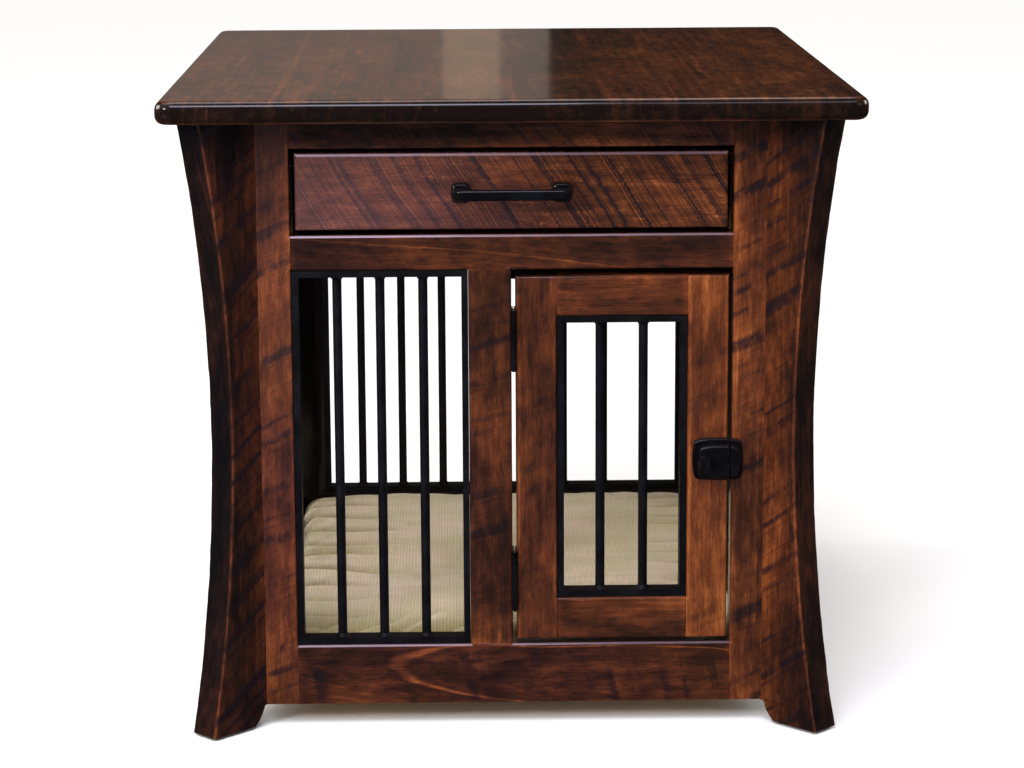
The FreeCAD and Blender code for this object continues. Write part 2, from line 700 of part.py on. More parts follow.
for sg in (-1, 1):
    y_head = y_in + D.box_side
    screws.append(fuse("pull_screw", [
        round_bar("pull_screw_shank", 1.95, D.board + D.box_side + 11, sg * half, -D.face_y - 11, D.pull_high, "y"),
        round_bar("pull_screw_head", 4.2, 2.4, sg * half, y_head, D.pull_high, "y")]))
keep(group("PullScrews", screws), "pull_screws")


# ------------------------------------------------- full-extension drawer slides
def channels(name, sections, length, y_end):
    """The same steel channel on the left and on the right, each one section."""
    b = doc.addObject("PartDesign::Body", name.title().replace("_", ""))
    sk = outline(b, name + "_sections", "XZ_Plane", sections)
    pad(b, name + "_length", sk, length)
    place(b, 0, y_end, D.slide_mid)
    return keep(b, name)


def channel(sg, web, lips, tall, sheet_t):
    """A C section.  web and lips are distances from the runner block."""
    def x(u):
        return (front_in - u) * sg
    web, lips = size(web), size(lips)
    t = sheet_t if lips.v > web.v else -sheet_t
    h = tall / 2
    return [(x(web), -h), (x(lips), -h), (x(lips), -h + sheet_t), (x(web + t), -h + sheet_t),
            (x(web + t), h - sheet_t), (x(lips), h - sheet_t), (x(lips), h), (x(web), h)]


st = D.slide_sheet
y_end = -301 + D.slide_long
channels("slide_cabinet_members", [channel(g, 0, 9.5, D.slide_tall, st) for g in (-1, 1)], D.slide_long, y_end)
channels("slide_middle_members", [channel(g, 3.6, 10.2, D.slide_tall - 8, st) for g in (-1, 1)], D.slide_long, y_end)
channels("slide_drawer_members", [channel(g, 12.7, 6.6, D.slide_tall - 16, st) for g in (-1, 1)], D.slide_long, y_end)

# ------------------------------------------------------------------------ door
blank = frame_blank("DoorFrame", (D.door_left, D.door_right),
                    [(door_in0, door_in1, door_z0, door_z1)], D.door_low, D.door_high,
                    mitre=False, eased_outside=True)
dt = {}
for side, a, b in (("l", door_in0 - D.tenon, door_in0), ("r", door_in1, door_in1 + D.tenon)):
    dt["top" + side] = tenon("dt_top" + side, a, b, door_z1 + 7, D.door_high - 8)
    dt["low" + side] = tenon("dt_low" + side, a, b, D.door_low + 8, door_z0 - 7)
hinge_stile = member("door_hinge_stile", blank, (D.door_left - 1, door_in0, Y0, Y1, D.door_low, D.door_high),
                     [], [dt["topl"], dt["lowl"]], put_front, final=False)
member("door_latch_stile", blank, (door_in1, D.door_right + 1, Y0, Y1, D.door_low, D.door_high),
       [], [dt["topr"], dt["lowr"]], put_front)
member("door_top_rail", blank, (door_in0, door_in1, Y0, Y1, door_z1, D.door_high),
       [dt["topl"], dt["topr"]], [], put_front)
member("door_bottom_rail", blank, (door_in0, door_in1, Y0, Y1, D.door_low, door_z0),
       [dt["lowl"], dt["lowr"]], [], put_front)

# ------------------------------------------------------------------ butt hinges
axis_y = -D.face_y - D.hinge_out
kr = D.knuckle_dia / 2
leaf_y0, leaf_y1 = -D.face_y + 0.4, -case_y - 1.5
frame_leaves, door_leaves, pins = [], [], []
frame_screws, door_screws = [], []
step = D.hinge_long / 5
for tag, zc in (("upper", D.hinge_top), ("lower", D.hinge_bottom)):
    z_low = zc - D.hinge_long / 2
    fx0 = D.mull_right
    dx1 = D.door_left
    for which, xa, xb, rows, out in (
            ("frame", fx0, fx0 + D.leaf_thick, (0, 2, 4), frame_leaves),
            ("door", dx1 - D.leaf_thick, dx1, (1, 3), door_leaves)):
        shapes = [box("%s_%s_leaf" % (tag, which), xa, xb, leaf_y0, leaf_y1, z_low, z_low + D.hinge_long)]
        for r in rows:
            z0 = z_low + step * r + 0.15
            shapes.append(round_bar("%s_%s_knuckle%d" % (tag, which, r), kr, step - 0.3, D.hinge_x, axis_y, z0))
            # the leaf's strap runs up to its knuckle
            shapes.append(box("%s_%s_strap%d" % (tag, which, r), xa, xb, axis_y + 0.2, leaf_y0 + 0.2, z0, z0 + step - 0.3))
        solid = fuse("%s_%s_solid" % (tag, which), shapes)
        bore = round_bar("%s_%s_bore" % (tag, which), D.hinge_pin / 2 + (0.0 if which == "frame" else 0.05),
                         D.hinge_long + 2, D.hinge_x, axis_y, z_low - 1)
        drilled = cut("%s_%s_bored" % (tag, which), solid, bore)
        screws = []
        for k, dz in enumerate((-21, 0, 21)):
            yy = -D.face_y + (9 if k != 1 else 15)
            if which == "frame":
                head = round_bar("hs_head", 3.1, D.leaf_thick, xb, yy, zc + dz, "-x", 1.6)
                shank = round_bar("hs_shank", 1.6, 15, xb - D.leaf_thick + 0.01, yy, zc + dz, "-x")
            else:
                head = round_bar("hs_head", 3.1, D.leaf_thick, xa, yy, zc + dz, "x", 1.6)
                shank = round_bar("hs_shank", 1.6, 15, xa + D.leaf_thick - 0.01, yy, zc + dz, "x")
            screws.append(fuse("hinge_screw", [head, shank]))
        (frame_screws if which == "frame" else door_screws).extend(screws)
        out.append(cut("%s_%s_sunk" % (tag, which), drilled, group("%s_%s_set" % (tag, which), screws)))
    pin = fuse("%s_pin" % tag, [
        round_bar("pin_shank", D.hinge_pin / 2, D.hinge_long + 1, D.hinge_x, axis_y, z_low - 0.5),
        round_bar("pin_tip_top", 2.5, 1.6, D.hinge_x, axis_y, z_low + D.hinge_long + 0.1, "z", 1.5),
        round_bar("pin_tip_low", 2.5, 1.6, D.hinge_x, axis_y, z_low - 0.1, "-z", 1.5)])
    pins.append(pin)
keep(group("HingeFrameLeaves", frame_leaves), "hinge_frame_leaves")
keep(group("HingeDoorLeaves", door_leaves), "hinge_door_leaves")
keep(group("HingePins", pins), "hinge_pins")
set_f = keep(group("HingeFrameScrews", frame_screws), "hinge_screws_frame")
set_d = keep(group("HingeDoorScrews", door_screws), "hinge_screws_door")
keep(cut("CentrePostDrilled", post, set_f), "front_centre_post")
keep(cut("DoorHingeStileDrilled", hinge_stile, set_d), "door_hinge_stile")

# ----------------------------------------------------------------------- latch
# A two-part cupboard turn latch: a domed case on the door and a matching domed
# strike on the face frame, hollow from behind.  The knob's crank pin throws a
# flat bolt sideways.
lz = D.latch_high
L0, L1 = 172.5, 222.0
body = doc.addObject("PartDesign::Body", "LatchDome")


def pillow_loop(inset, h):
    x0, x1 = L0 + 2.6 + inset, L1 - 2.6 - inset
    z1 = h - 1.8 - inset
    xm = (L0 + L1) / 2
    # corners in order, each reached by a bulging arc
    return [(x0, -z1, L0 + inset, 0), (x1, -z1, xm, -(h - inset)),
            (x1, z1, L1 - inset, 0), (x0, z1, xm, h - inset)]


s = outline(body, "LatchFlange", "XZ_Plane", [pillow_loop(0.0, 20.8)])
pad(body, "LatchFlangePad", s, 5)
ease(body, "LatchFlangeCorners", 4.5, lambda e, m, p: near(m.y, -2.5))
ease(body, "LatchFlangeRim", 2.2, lambda e, m, p: near(m.y, -5) and all(near(q.y, -5) for q in p))
s = outline(body, "LatchRise", "XZ_Plane", [pillow_loop(4.2, 20.8)])
pad(body, "LatchRisePad", s, 17.5)
ease(body, "LatchRiseCorners", 4.0, lambda e, m, p: e.Length > 8 and near(abs(p[0].y - p[-1].y), 12.5, 0.3)
     and near(p[0].x, p[-1].x))
ease(body, "LatchRiseRim", 3.0, lambda e, m, p: near(m.y, -17.5) and all(near(q.y, -17.5) for q in p))
place(body, 0, -D.face_y, lz)
gap0, gap1 = 206.2, 208.7
fy = -D.face_y
kx = D.knob_x
cavity = box("latch_cavity", 175.7, 203.0, fy - 11.6, fy - 4.4, lz - 11, lz + 11)
mouth = box("latch_mouth", 202.0, 207.0, fy - 10.9, fy - 5.1, lz - 5.2, lz + 5.2)
spindle_bore = round_bar("latch_spindle_bore", 3.05, 9, kx, fy - 11, lz, "-y")
case_blank = common("latch_case_blank", body, box("latch_case_region", 170, gap0, fy - 25, fy, lz - 25, lz + 25))
keep(cut("LatchCase", case_blank, [cavity, mouth, spindle_bore]), "latch_case")
strike_blank = common("latch_strike_blank", body, box("latch_strike_region", gap1, 225, fy - 25, fy, lz - 25, lz + 25))
keep(cut("LatchStrike", strike_blank,
         [box("strike_pocket", gap1 - 1, 217.2, fy - 11.4, fy + 1, lz - 6.2, lz + 6.2)]), "latch_strike")
# bolt: wide head with the crank slot, narrow nose
crank = 4.95
slot_x = kx - crank * ROOT2 / 2
bolt = fuse("latch_bolt_blank", [
    box("latch_bolt_head", 176.4, 194.2, fy - 10.5, fy - 5.5, lz - 9.5, lz + 9.5),
    box("latch_bolt_nose", 194.0, 208.2, fy - 9.7, fy - 5.5, lz - 4.4, lz + 4.4)])
keep(cut("LatchBolt", bolt, [box("latch_bolt_slot", slot_x - 2.3, slot_x + 2.3, fy - 12, fy - 4,
                                 lz + 0.6, lz + 7.6)]), "latch_bolt")
# knob: round boss with a grip bar, spindle, crank disc and crank pin
knob = fuse("LatchKnob", [
    round_bar("knob_spindle", 3.0, 8.2, kx, fy - 11.0, lz, "-y"),
    round_bar("knob_boss", 8.0, 6.0, kx, fy - 18.0, lz, "-y", 7.0),
    box("knob_grip", kx - 2.4, kx + 2.4, fy - 30, fy - 23.5, lz - 7.4, lz + 7.4),
    round_bar("knob_collar", 5.0, 3.0, kx, fy - 23.6, lz, "-y", 3.4),
    round_bar("knob_crank_pin", 1.3, 4.6, slot_x, fy - 6.6, lz + crank * ROOT2 / 2, "-y"),
    round_bar("knob_crank_disc", 7.0, 0.5, kx, fy - 10.9, lz, "-y"),
])
keep(knob, "latch_knob")

# ----------------------------------------------------------------- check, write
doc.recompute()
bad = [o.Name for o in doc.Objects if "Invalid" in o.State or "Error" in o.State]
if bad:
    raise RuntimeError("failed objects: " + ", ".join(bad))
total = 0.0
for name, obj in sorted(PIECES.items()):
    shape = obj.Shape
    if shape.isNull() or not shape.isValid() or not shape.Solids:
        raise RuntimeError("bad shape: " + name)
    total += shape.Volume
    shape.exportStep("parts/%s.step" % name)
    print("%-24s solids %2d  volume %10.1f mm3" % (name, len(shape.Solids), shape.Volume))
print(len(PIECES), "sub-parts, volume %.0f mm3" % total)
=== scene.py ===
import math

import bmesh
import bpy
import numpy as np
from mathutils import Matrix, Vector, noise
from mathutils.kdtree import KDTree


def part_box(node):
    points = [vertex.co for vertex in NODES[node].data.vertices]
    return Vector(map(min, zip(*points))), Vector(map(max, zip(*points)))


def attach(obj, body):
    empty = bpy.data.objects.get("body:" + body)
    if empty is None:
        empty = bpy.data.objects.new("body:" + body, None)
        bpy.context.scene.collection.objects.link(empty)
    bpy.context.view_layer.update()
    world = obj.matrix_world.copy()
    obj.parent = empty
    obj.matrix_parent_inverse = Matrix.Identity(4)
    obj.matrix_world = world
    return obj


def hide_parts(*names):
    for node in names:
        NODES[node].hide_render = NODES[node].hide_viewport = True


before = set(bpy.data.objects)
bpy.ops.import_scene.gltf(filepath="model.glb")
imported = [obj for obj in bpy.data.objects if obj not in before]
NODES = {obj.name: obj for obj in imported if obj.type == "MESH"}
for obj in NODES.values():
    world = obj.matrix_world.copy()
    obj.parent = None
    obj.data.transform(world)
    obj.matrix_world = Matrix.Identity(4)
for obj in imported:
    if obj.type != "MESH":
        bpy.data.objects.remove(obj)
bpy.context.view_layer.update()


# ---------------------------------------------------------------- node helpers
def lin(r, g, b):
    """A colour given as 0 to 255 display values, as linear RGBA."""
    out = []
    for c in (r, g, b):
        c = c / 255.0
        out.append(c / 12.92 if c <= 0.04045 else ((c + 0.055) / 1.055) ** 2.4)
    return (*out, 1.0)


class Graph:
    """A material's node tree with short names for the nodes used here."""

    def __init__(self, name):
        self.mat = bpy.data.materials.new(name)
        self.mat.use_nodes = True
        self.tree = self.mat.node_tree
        self.tree.nodes.clear()
        self.out = self.tree.nodes.new("ShaderNodeOutputMaterial")
        self.bsdf = self.tree.nodes.new("ShaderNodeBsdfPrincipled")
        self.tree.links.new(self.bsdf.outputs[0], self.out.inputs[0])
        self.coords = self.tree.nodes.new("ShaderNodeTexCoord")

    def put(self, socket, value):
        if value is None:
            return
        if isinstance(value, bpy.types.NodeSocket):
            self.tree.links.new(value, socket)
        else:
            socket.default_value = value

    def math(self, op, a, b=None, c=None, clamp=False):
        n = self.tree.nodes.new("ShaderNodeMath")
        n.operation = op
        n.use_clamp = clamp
        for s, v in zip(n.inputs, (a, b, c)):
            self.put(s, v)
        return n.outputs[0]

    def vmath(self, op, a, b=None):
        n = self.tree.nodes.new("ShaderNodeVectorMath")
        n.operation = op
        self.put(n.inputs[0], a)
        if b is not None:
            self.put(n.inputs[1], b)
        return n.outputs[1] if op in ("DOT_PRODUCT", "LENGTH") else n.outputs[0]

    def join(self, x, y, z):
        n = self.tree.nodes.new("ShaderNodeCombineXYZ")
        for s, v in zip(n.inputs, (x, y, z)):
            self.put(s, v)
        return n.outputs[0]

    def split(self, v):
        n = self.tree.nodes.new("ShaderNodeSeparateXYZ")
        self.put(n.inputs[0], v)
        return n.outputs

    def noise(self, vec, detail=2.0, rough=0.5, warp=0.0):
        n = self.tree.nodes.new("ShaderNodeTexNoise")
        n.noise_dimensions = "3D"
        self.put(n.inputs["Vector"], vec)
        n.inputs["Scale"].default_value = 1.0
        n.inputs["Detail"].default_value = detail
        n.inputs["Roughness"].default_value = rough
        n.inputs["Distortion"].default_value = warp
        return n.outputs["Fac"]

    def noise1(self, w, detail=1.0, rough=0.5):
        n = self.tree.nodes.new("ShaderNodeTexNoise")
        n.noise_dimensions = "1D"
        self.put(n.inputs["W"], w)
        n.inputs["Scale"].default_value = 1.0
        n.inputs["Detail"].default_value = detail
        n.inputs["Roughness"].default_value = rough
        return n.outputs["Fac"]

    def white(self, w):
        n = self.tree.nodes.new("ShaderNodeTexWhiteNoise")
        n.noise_dimensions = "1D"
        self.put(n.inputs["W"], w)
        return n.outputs["Value"]

    def cells(self, vec, scale=1.0, feature="F1"):
        n = self.tree.nodes.new("ShaderNodeTexVoronoi")
        n.feature = feature
        self.put(n.inputs["Vector"], vec)
        n.inputs["Scale"].default_value = scale
        return n.outputs["Distance"]

    def span(self, v, a, b, c=0.0, d=1.0, smooth=True):
        n = self.tree.nodes.new("ShaderNodeMapRange")
        n.interpolation_type = "SMOOTHSTEP" if smooth else "LINEAR"
        for s, x in zip(n.inputs, (v, a, b, c, d)):
            self.put(s, x)
        return n.outputs[0]

    def ramp(self, v, stops, mode="LINEAR"):
        n = self.tree.nodes.new("ShaderNodeValToRGB")
        n.color_ramp.interpolation = mode
        e = n.color_ramp.elements
        while len(e) < len(stops):
            e.new(0.5)
        for k, (at, colour) in enumerate(stops):
            e[k].position = at
            e[k].color = colour
        self.put(n.inputs[0], v)
        return n.outputs[0]

    def mix(self, f, a, b, blend="MIX"):
        n = self.tree.nodes.new("ShaderNodeMix")
        n.data_type = "RGBA"
        n.blend_type = blend
        n.clamp_factor = True
        self.put(n.inputs[0], f)
        self.put(n.inputs[6], a)
        self.put(n.inputs[7], b)
        return n.outputs[2]

    def bump(self, height, distance, strength=1.0, normal=None):
        n = self.tree.nodes.new("ShaderNodeBump")
        n.inputs["Strength"].default_value = strength
        n.inputs["Distance"].default_value = distance
        self.put(n.inputs["Height"], height)
        if normal is not None:
            self.put(n.inputs["Normal"], normal)
        return n.outputs[0]

    def attr(self, name):
        n = self.tree.nodes.new("ShaderNodeAttribute")
        n.attribute_type = "GEOMETRY"
        n.attribute_name = name
        return n.outputs["Fac"]

    def total(self, *terms):
        s = terms[0]
        for t in terms[1:]:
            s = self.math("ADD", s, t)
        return s

    def shade(self, colour=None, rough=None, normal=None, **constant):
        self.put(self.bsdf.inputs["Base Color"], colour)
        self.put(self.bsdf.inputs["Roughness"], rough)
        if normal is not None:
            self.put(self.bsdf.inputs["Normal"], normal)
        for k, v in constant.items():
            self.bsdf.inputs[k.replace("_", " ")].default_value = v
        return self.mat


# ------------------------------------------------------------------- materials
STAIN = [
    (0.00, lin(8, 6, 8)),
    (0.20, lin(24, 12, 9)),
    (0.40, lin(48, 22, 11)),
    (0.58, lin(75, 35, 14)),
    (0.76, lin(106, 54, 21)),
    (1.00, lin(146, 86, 38)),
]
TOP_STAIN = [
    (0.00, lin(14, 8, 6)),
    (0.22, lin(32, 17, 9)),
    (0.44, lin(62, 31, 14)),
    (0.62, lin(92, 47, 20)),
    (0.80, lin(120, 66, 29)),
    (1.00, lin(150, 90, 44)),
]
PALE = [
    (0.00, lin(120, 84, 52)),
    (0.25, lin(166, 124, 82)),
    (0.50, lin(196, 156, 108)),
    (0.75, lin(214, 178, 130)),
    (1.00, lin(228, 198, 152)),
]


def wood(name, g, f, n, c, seed, tone=0.5, spread=1.0, saw=0.6, kerf=(0.87, -0.5), fine=0.5,
         pith=(0.02, 0.035), slope=0.0, tilt=0.0, bow=0.0, ring=0.006, line=0.5, bold=(), gloss=0.40,
         stops=STAIN, relief=1.0, staves=None, coat=0.9, coat_rough=0.16, streaks=0.16, kerf_scale=1.0,
         cover=0.0, inside=None, rim=None, end=0.22, stripes=(), bloom=0.5, mottle=1.0,
         worn=0.10, under=0.24, deepen=None, scratch=0.0, veil=None, low=0.0, inner_shade_at=None, lip=0.0):
    """Stained sawn hardwood.  g, f and n are the grain, across and through
    directions, c the board's middle.  kerf is the direction that crosses the
    saw marks, in (grain, across); cover says how much of the board has them.
    under darkens what the top's overhang shades; deepen one side of a board.
    inside is a direction whose faces get painted shade, near black, for the
    dark inside of the crate; rim one whose faces were planed smooth and dark."""
    m = Graph(name)
    p = m.vmath("SUBTRACT", m.coords.outputs["Object"], tuple(c))
    x = m.vmath("DOT_PRODUCT", p, tuple(g))
    y = m.vmath("DOT_PRODUCT", p, tuple(f))
    z = m.vmath("DOT_PRODUCT", p, tuple(n))
    facing = m.coords.outputs["Normal"]
    off = (seed * 3.171, seed * 1.733, seed * 2.377)
    if staves:
        # the panel is glued up from several boards: each has its own figure
        ends, tones = staves
        wide = ends[-1] - ends[0]
        at = m.span(y, ends[0], ends[-1], 0.0, 1.0, smooth=False)
        stops_id = [(max(0.0, (e - ends[0]) / wide), (k / 10.0, k / 10.0, k / 10.0, 1)) for k, e in enumerate(ends[:-1])]
        ident = m.ramp(at, stops_id, "CONSTANT")
        stops_tone = [(q[0], (t + 0.5, t + 0.5, t + 0.5, 1)) for q, t in zip(stops_id, tones)]
        lift = m.math("SUBTRACT", m.ramp(at, stops_tone, "CONSTANT"), 0.5)
        ident = m.math("MULTIPLY", ident, 3.7)
        xs = m.math("ADD", x, ident)
        zs = m.math("ADD", z, ident)
    else:
        xs, zs = x, z
    v = m.vmath("ADD", m.join(xs, y, zs), off)

    def field(sx, sy, detail=2.0, rough=0.5, warp=0.0):
        return m.noise(m.vmath("MULTIPLY", v, (sx, sy, sy)), detail, rough, warp)

    # growth rings round a leaning, wandering pith
    sway = m.math("MULTIPLY_ADD", field(4.0, 9.0, 2.0), 0.024, -0.012)
    fuzz = m.math("MULTIPLY_ADD", field(12.0, 60.0, 2.0), 0.005, -0.0025)
    yy = m.total(m.math("MULTIPLY_ADD", x, tilt, y), sway, pith[0])
    lean = m.math("MULTIPLY_ADD", x, slope, pith[1])
    if bow:
        lean = m.math("ADD", lean, m.math("MULTIPLY", m.math("MULTIPLY", x, x), bow))
    zz = m.math("ADD", z, lean)
    r = m.math("SQRT", m.math("ADD", m.math("MULTIPLY", yy, yy), m.math("MULTIPLY", zz, zz)))
    rf = m.math("ADD", r, fuzz)
    turns = m.math("DIVIDE", rf, ring)
    if staves:
        turns = m.math("ADD", turns, ident)
    year = m.math("FLOOR", turns)
    part = m.math("FRACT", turns)
    edge_line = m.span(m.math("ABSOLUTE", m.math("SUBTRACT", part, 0.16)), 0.13, 0.02)
    pick = m.span(m.white(m.math("ADD", year, seed)), 0.55, 1.0)
    shown = m.span(field(5.0, 30.0, 2.0), 0.44, 0.64)
    rings = m.math("MULTIPLY", m.math("MULTIPLY", edge_line, pick), m.math("MULTIPLY", shown, 0.26 * line))
    late = m.math("MULTIPLY", m.math("SUBTRACT", part, 0.5), -0.07 * (0.4 + line))
    tones_sum = m.math("ADD", late, tone)
    tones_sum = m.math("ADD", tones_sum, rings)
    faded = m.span(field(9.0, 40.0, 2.0), 0.30, 0.55, 0.35, 1.0)
    for radius, width, amount in bold:
        near = m.span(m.math("ABSOLUTE", m.math("SUBTRACT", rf, radius)), width, width * 0.15)
        tones_sum = m.math("ADD", tones_sum, m.math("MULTIPLY", m.math("MULTIPLY", near, faded), amount))
    for place, width, amount in stripes:
        bend_s = m.math("MULTIPLY_ADD", field(6.0, 6.0, 2.0), 0.010, -0.005)
        near = m.span(m.math("ABSOLUTE", m.math("SUBTRACT", m.math("ADD", y, bend_s), place)), width, width * 0.35)
        tones_sum = m.math("ADD", tones_sum, m.math("MULTIPLY", near, amount))

    # stain: clouds, mottle, streaks, fibres and short dark pores
    cloud = m.math("MULTIPLY_ADD", field(5.5, 15.0, 4.0, 0.62, 0.4), 1.05 * spread, -0.525 * spread)
    speck_n = field(42.0, 90.0, 4.0, 0.68)
    speck = m.math("MULTIPLY_ADD", speck_n, 0.56 * mottle, -0.28 * mottle)
    streak = m.math("MULTIPLY_ADD", field(3.0, 150.0, 4.0, 0.66), 2 * streaks, -streaks)
    fibre_n = field(46.0, 720.0, 3.0, 0.72)
    fibre = m.math("MULTIPLY_ADD", fibre_n, 0.42, -0.21)
    hair_n = field(110.0, 2300.0, 2.0, 0.6)
    hair = m.math("MULTIPLY_ADD", hair_n, 0.30, -0.15)
    pore = m.span(field(85.0, 1150.0, 1.0, 0.5), 0.62, 0.74)
    tones_sum = m.total(tones_sum, cloud, speck, streak, fibre, hair)
    if staves:
        tones_sum = m.math("ADD", tones_sum, lift)

    # saw marks: ragged dark bands and fine lines left across the board by the
    # blade, heavier in patches
    bend = m.math("MULTIPLY_ADD", m.noise(m.vmath("MULTIPLY", v, (9.0, 9.0, 9.0)), 1.0), 0.016, -0.008)
    ragged = m.math("MULTIPLY_ADD", field(30.0, 420.0, 3.0, 0.7), 0.0085, -0.00425)
    s = m.total(m.math("MULTIPLY", x, kerf[0]), m.math("MULTIPLY", y, kerf[1]), bend)
    s = m.math("ADD", s, seed * 0.37)
    wide_n = m.noise1(m.math("MULTIPLY", m.math("ADD", s, ragged), 62.0 * kerf_scale), 2.0, 0.6)
    wide = m.span(wide_n, 0.49, 0.70)
    narrow_n = m.noise1(m.math("MULTIPLY", m.math("MULTIPLY_ADD", ragged, 0.25, s), 330.0 * kerf_scale), 2.0, 0.65)
    narrow = m.math("MULTIPLY_ADD", narrow_n, 2.0, -1.0)
    fade = m.span(m.noise(m.vmath("MULTIPLY", v, (22.0, 30.0, 30.0)), 4.0, 0.68), 0.42 - cover, 0.66 - cover)
    fade2 = m.span(m.noise(m.vmath("MULTIPLY", v, (7.0, 9.0, 9.0)), 2.0, 0.6), 0.34 - cover, 0.58 - cover)
    if rim:
        across = m.math("ABSOLUTE", m.vmath("DOT_PRODUCT", facing, tuple(rim)))
        planed = m.span(across, 0.80, 0.97)
        rough_side = m.math("SUBTRACT", 1.0, planed)
        fade = m.math("MULTIPLY", fade, rough_side)
        fade2 = m.math("MULTIPLY", fade2, rough_side)
        tones_sum = m.math("MULTIPLY_ADD", planed, -0.13, tones_sum)
    within = m.math("MULTIPLY_ADD", narrow, 0.45, 0.75)
    burn = m.math("MULTIPLY", m.math("MULTIPLY", m.math("MULTIPLY", wide, fade), within), 0.36 * saw)
    comb = m.math("MULTIPLY", m.math("MULTIPLY", narrow, fade2), 0.22 * fine)
    t = m.math("SUBTRACT", tones_sum, burn)
    t = m.math("SUBTRACT", t, comb)
    t = m.math("MULTIPLY_ADD", pore, -0.13, t)
    if end:
        cut = m.span(m.math("ABSOLUTE", m.vmath("DOT_PRODUCT", facing, tuple(g))), 0.55, 0.90)
        t = m.math("MULTIPLY_ADD", cut, -end, t)
    if under:
        high = m.split(m.coords.outputs["Object"])[2]
        t = m.math("MULTIPLY_ADD", m.span(high, 0.540, 0.600), -under, t)
    if low:
        # the panel's upright edges and the rounds that lead to them are darker than its face
        t = m.math("MULTIPLY_ADD", m.span(m.math("ABSOLUTE", m.vmath("DOT_PRODUCT", facing, tuple(n))), 0.985, 0.80), -low, t)
    if deepen:
        t = m.math("MULTIPLY_ADD", m.span(m.math("MULTIPLY_ADD", cloud, 0.02, y), deepen[0], deepen[1]), -deepen[2], t)
    if scratch:
        # thin pale lines where the figure turns
        a1 = m.noise(m.vmath("MULTIPLY", v, (17.0, 30.0, 30.0)), 2.0, 0.5, 1.6)
        thin = m.span(m.math("ABSOLUTE", m.math("SUBTRACT", a1, 0.5)), 0.010, 0.002)
        t = m.math("MULTIPLY_ADD", m.math("MULTIPLY", thin, m.span(field(14.0, 22.0, 2.0), 0.54, 0.66)), scratch, t)
    t = m.math("MULTIPLY_ADD", m.attr("edge"), worn, t)
    colour = m.ramp(t, stops)
    # painted shade: faces turned to the crate's inside are mixed towards near black
    if inside:
        dark = m.span(m.vmath("DOT_PRODUCT", facing, tuple(-k for k in inside)), 0.75, 0.35, 0.0, 0.97)
        colour = m.mix(dark, colour, lin(5, 5, 7))
    # painted shade: the leg's inner end, within the crate and above its floor, is mixed to near black
    if inner_shade_at is not None:
        high_c = m.split(m.coords.outputs["Object"])[2]
        hidden_shade = m.math("MULTIPLY", m.span(y, inner_shade_at + 0.002, inner_shade_at - 0.001), m.span(high_c, 0.034, 0.038))
        colour = m.mix(m.math("MULTIPLY", hidden_shade, 0.97), colour, lin(5, 5, 7))
    colour = m.mix(m.math("MULTIPLY", burn, 2.0, clamp=True), colour, lin(29, 18, 23))
    tint = m.math("MULTIPLY", m.span(field(4.0, 7.0, 3.0, 0.6), 0.42, 0.66), bloom)
    colour = m.mix(tint, colour, m.mix(1.0, colour, (0.80, 0.74, 1.35, 1.0), "MULTIPLY"))
    if veil:
        # painted sheen: a paler, cooler reflection painted into the colour, fading across the board
        painted_amount = m.math("MULTIPLY", m.span(x, veil[1], veil[0]), m.math("MULTIPLY_ADD", speck_n, 0.8, 0.6))
        colour = m.mix(m.math("MULTIPLY", painted_amount, veil[2], clamp=True), colour, lin(118, 88, 98))
    if lip:
        # painted highlight: a pale lavender glint painted along the round of the upper edge, stronger towards the left
        rise = m.vmath("DOT_PRODUCT", facing, Z)
        arc = m.math("MULTIPLY", m.span(rise, 0.22, 0.55), m.span(rise, 0.985, 0.93))
        painted_amount = m.math("MULTIPLY", arc, m.math("MULTIPLY_ADD", m.span(x, 0.16, -0.20), 0.6, 0.4))
        colour = m.mix(m.math("MULTIPLY", painted_amount, lip, clamp=True), colour, lin(196, 170, 192))

    height = m.total(m.math("MULTIPLY", fibre_n, 0.8), m.math("MULTIPLY", hair_n, 0.45), m.math("MULTIPLY", pore, -0.5))
    normal = m.bump(height, 0.00016 * relief)
    marks = m.total(m.math("MULTIPLY", m.math("MULTIPLY", wide_n, fade), -1.0 * saw),
                    m.math("MULTIPLY", m.math("MULTIPLY", narrow_n, fade2), -0.5 * fine))
    normal = m.bump(marks, 0.00055 * relief, normal=normal)
    rough = m.total(m.math("MULTIPLY_ADD", fibre_n, 0.14, gloss - 0.07), m.math("MULTIPLY", burn, 0.30),
                    m.math("MULTIPLY", pore, 0.12))
    return m.shade(colour, m.math("MAXIMUM", rough, 0.08), normal, Specular_IOR_Level=0.09,
                   Coat_Weight=coat, Coat_Roughness=coat_rough, Coat_IOR=1.45, IOR=1.5)


def black_metal(name, base, high, rough, peel=0.00003, peel_scale=700.0, coat=0.0):
    """Powder coat or lacquer on steel: near-black, faintly mottled, orange peel."""
    m = Graph(name)
    p = m.coords.outputs["Object"]
    mott = m.noise(m.vmath("MULTIPLY", p, (38.0, 38.0, 38.0)), 4.0, 0.6)
    dust = m.span(m.noise(m.vmath("MULTIPLY", p, (420.0, 420.0, 420.0)), 2.0, 0.6), 0.56, 0.80)
    worn = m.attr("edge")
    f = m.math("ADD", m.span(mott, 0.35, 0.70), m.math("MULTIPLY", dust, 0.35))
    f = m.math("MULTIPLY_ADD", worn, 0.5, f)
    colour = m.mix(m.math("MULTIPLY", f, 0.75), base, high)
    peel_n = m.noise(m.vmath("MULTIPLY", p, (peel_scale,) * 3), 1.0, 0.4)
    normal = m.bump(peel_n, peel)
    r = m.total(m.math("MULTIPLY_ADD", mott, 0.16, rough - 0.08), m.math("MULTIPLY", dust, 0.10))
    return m.shade(colour, r, normal, Specular_IOR_Level=0.22, Coat_Weight=coat, Coat_Roughness=0.15)


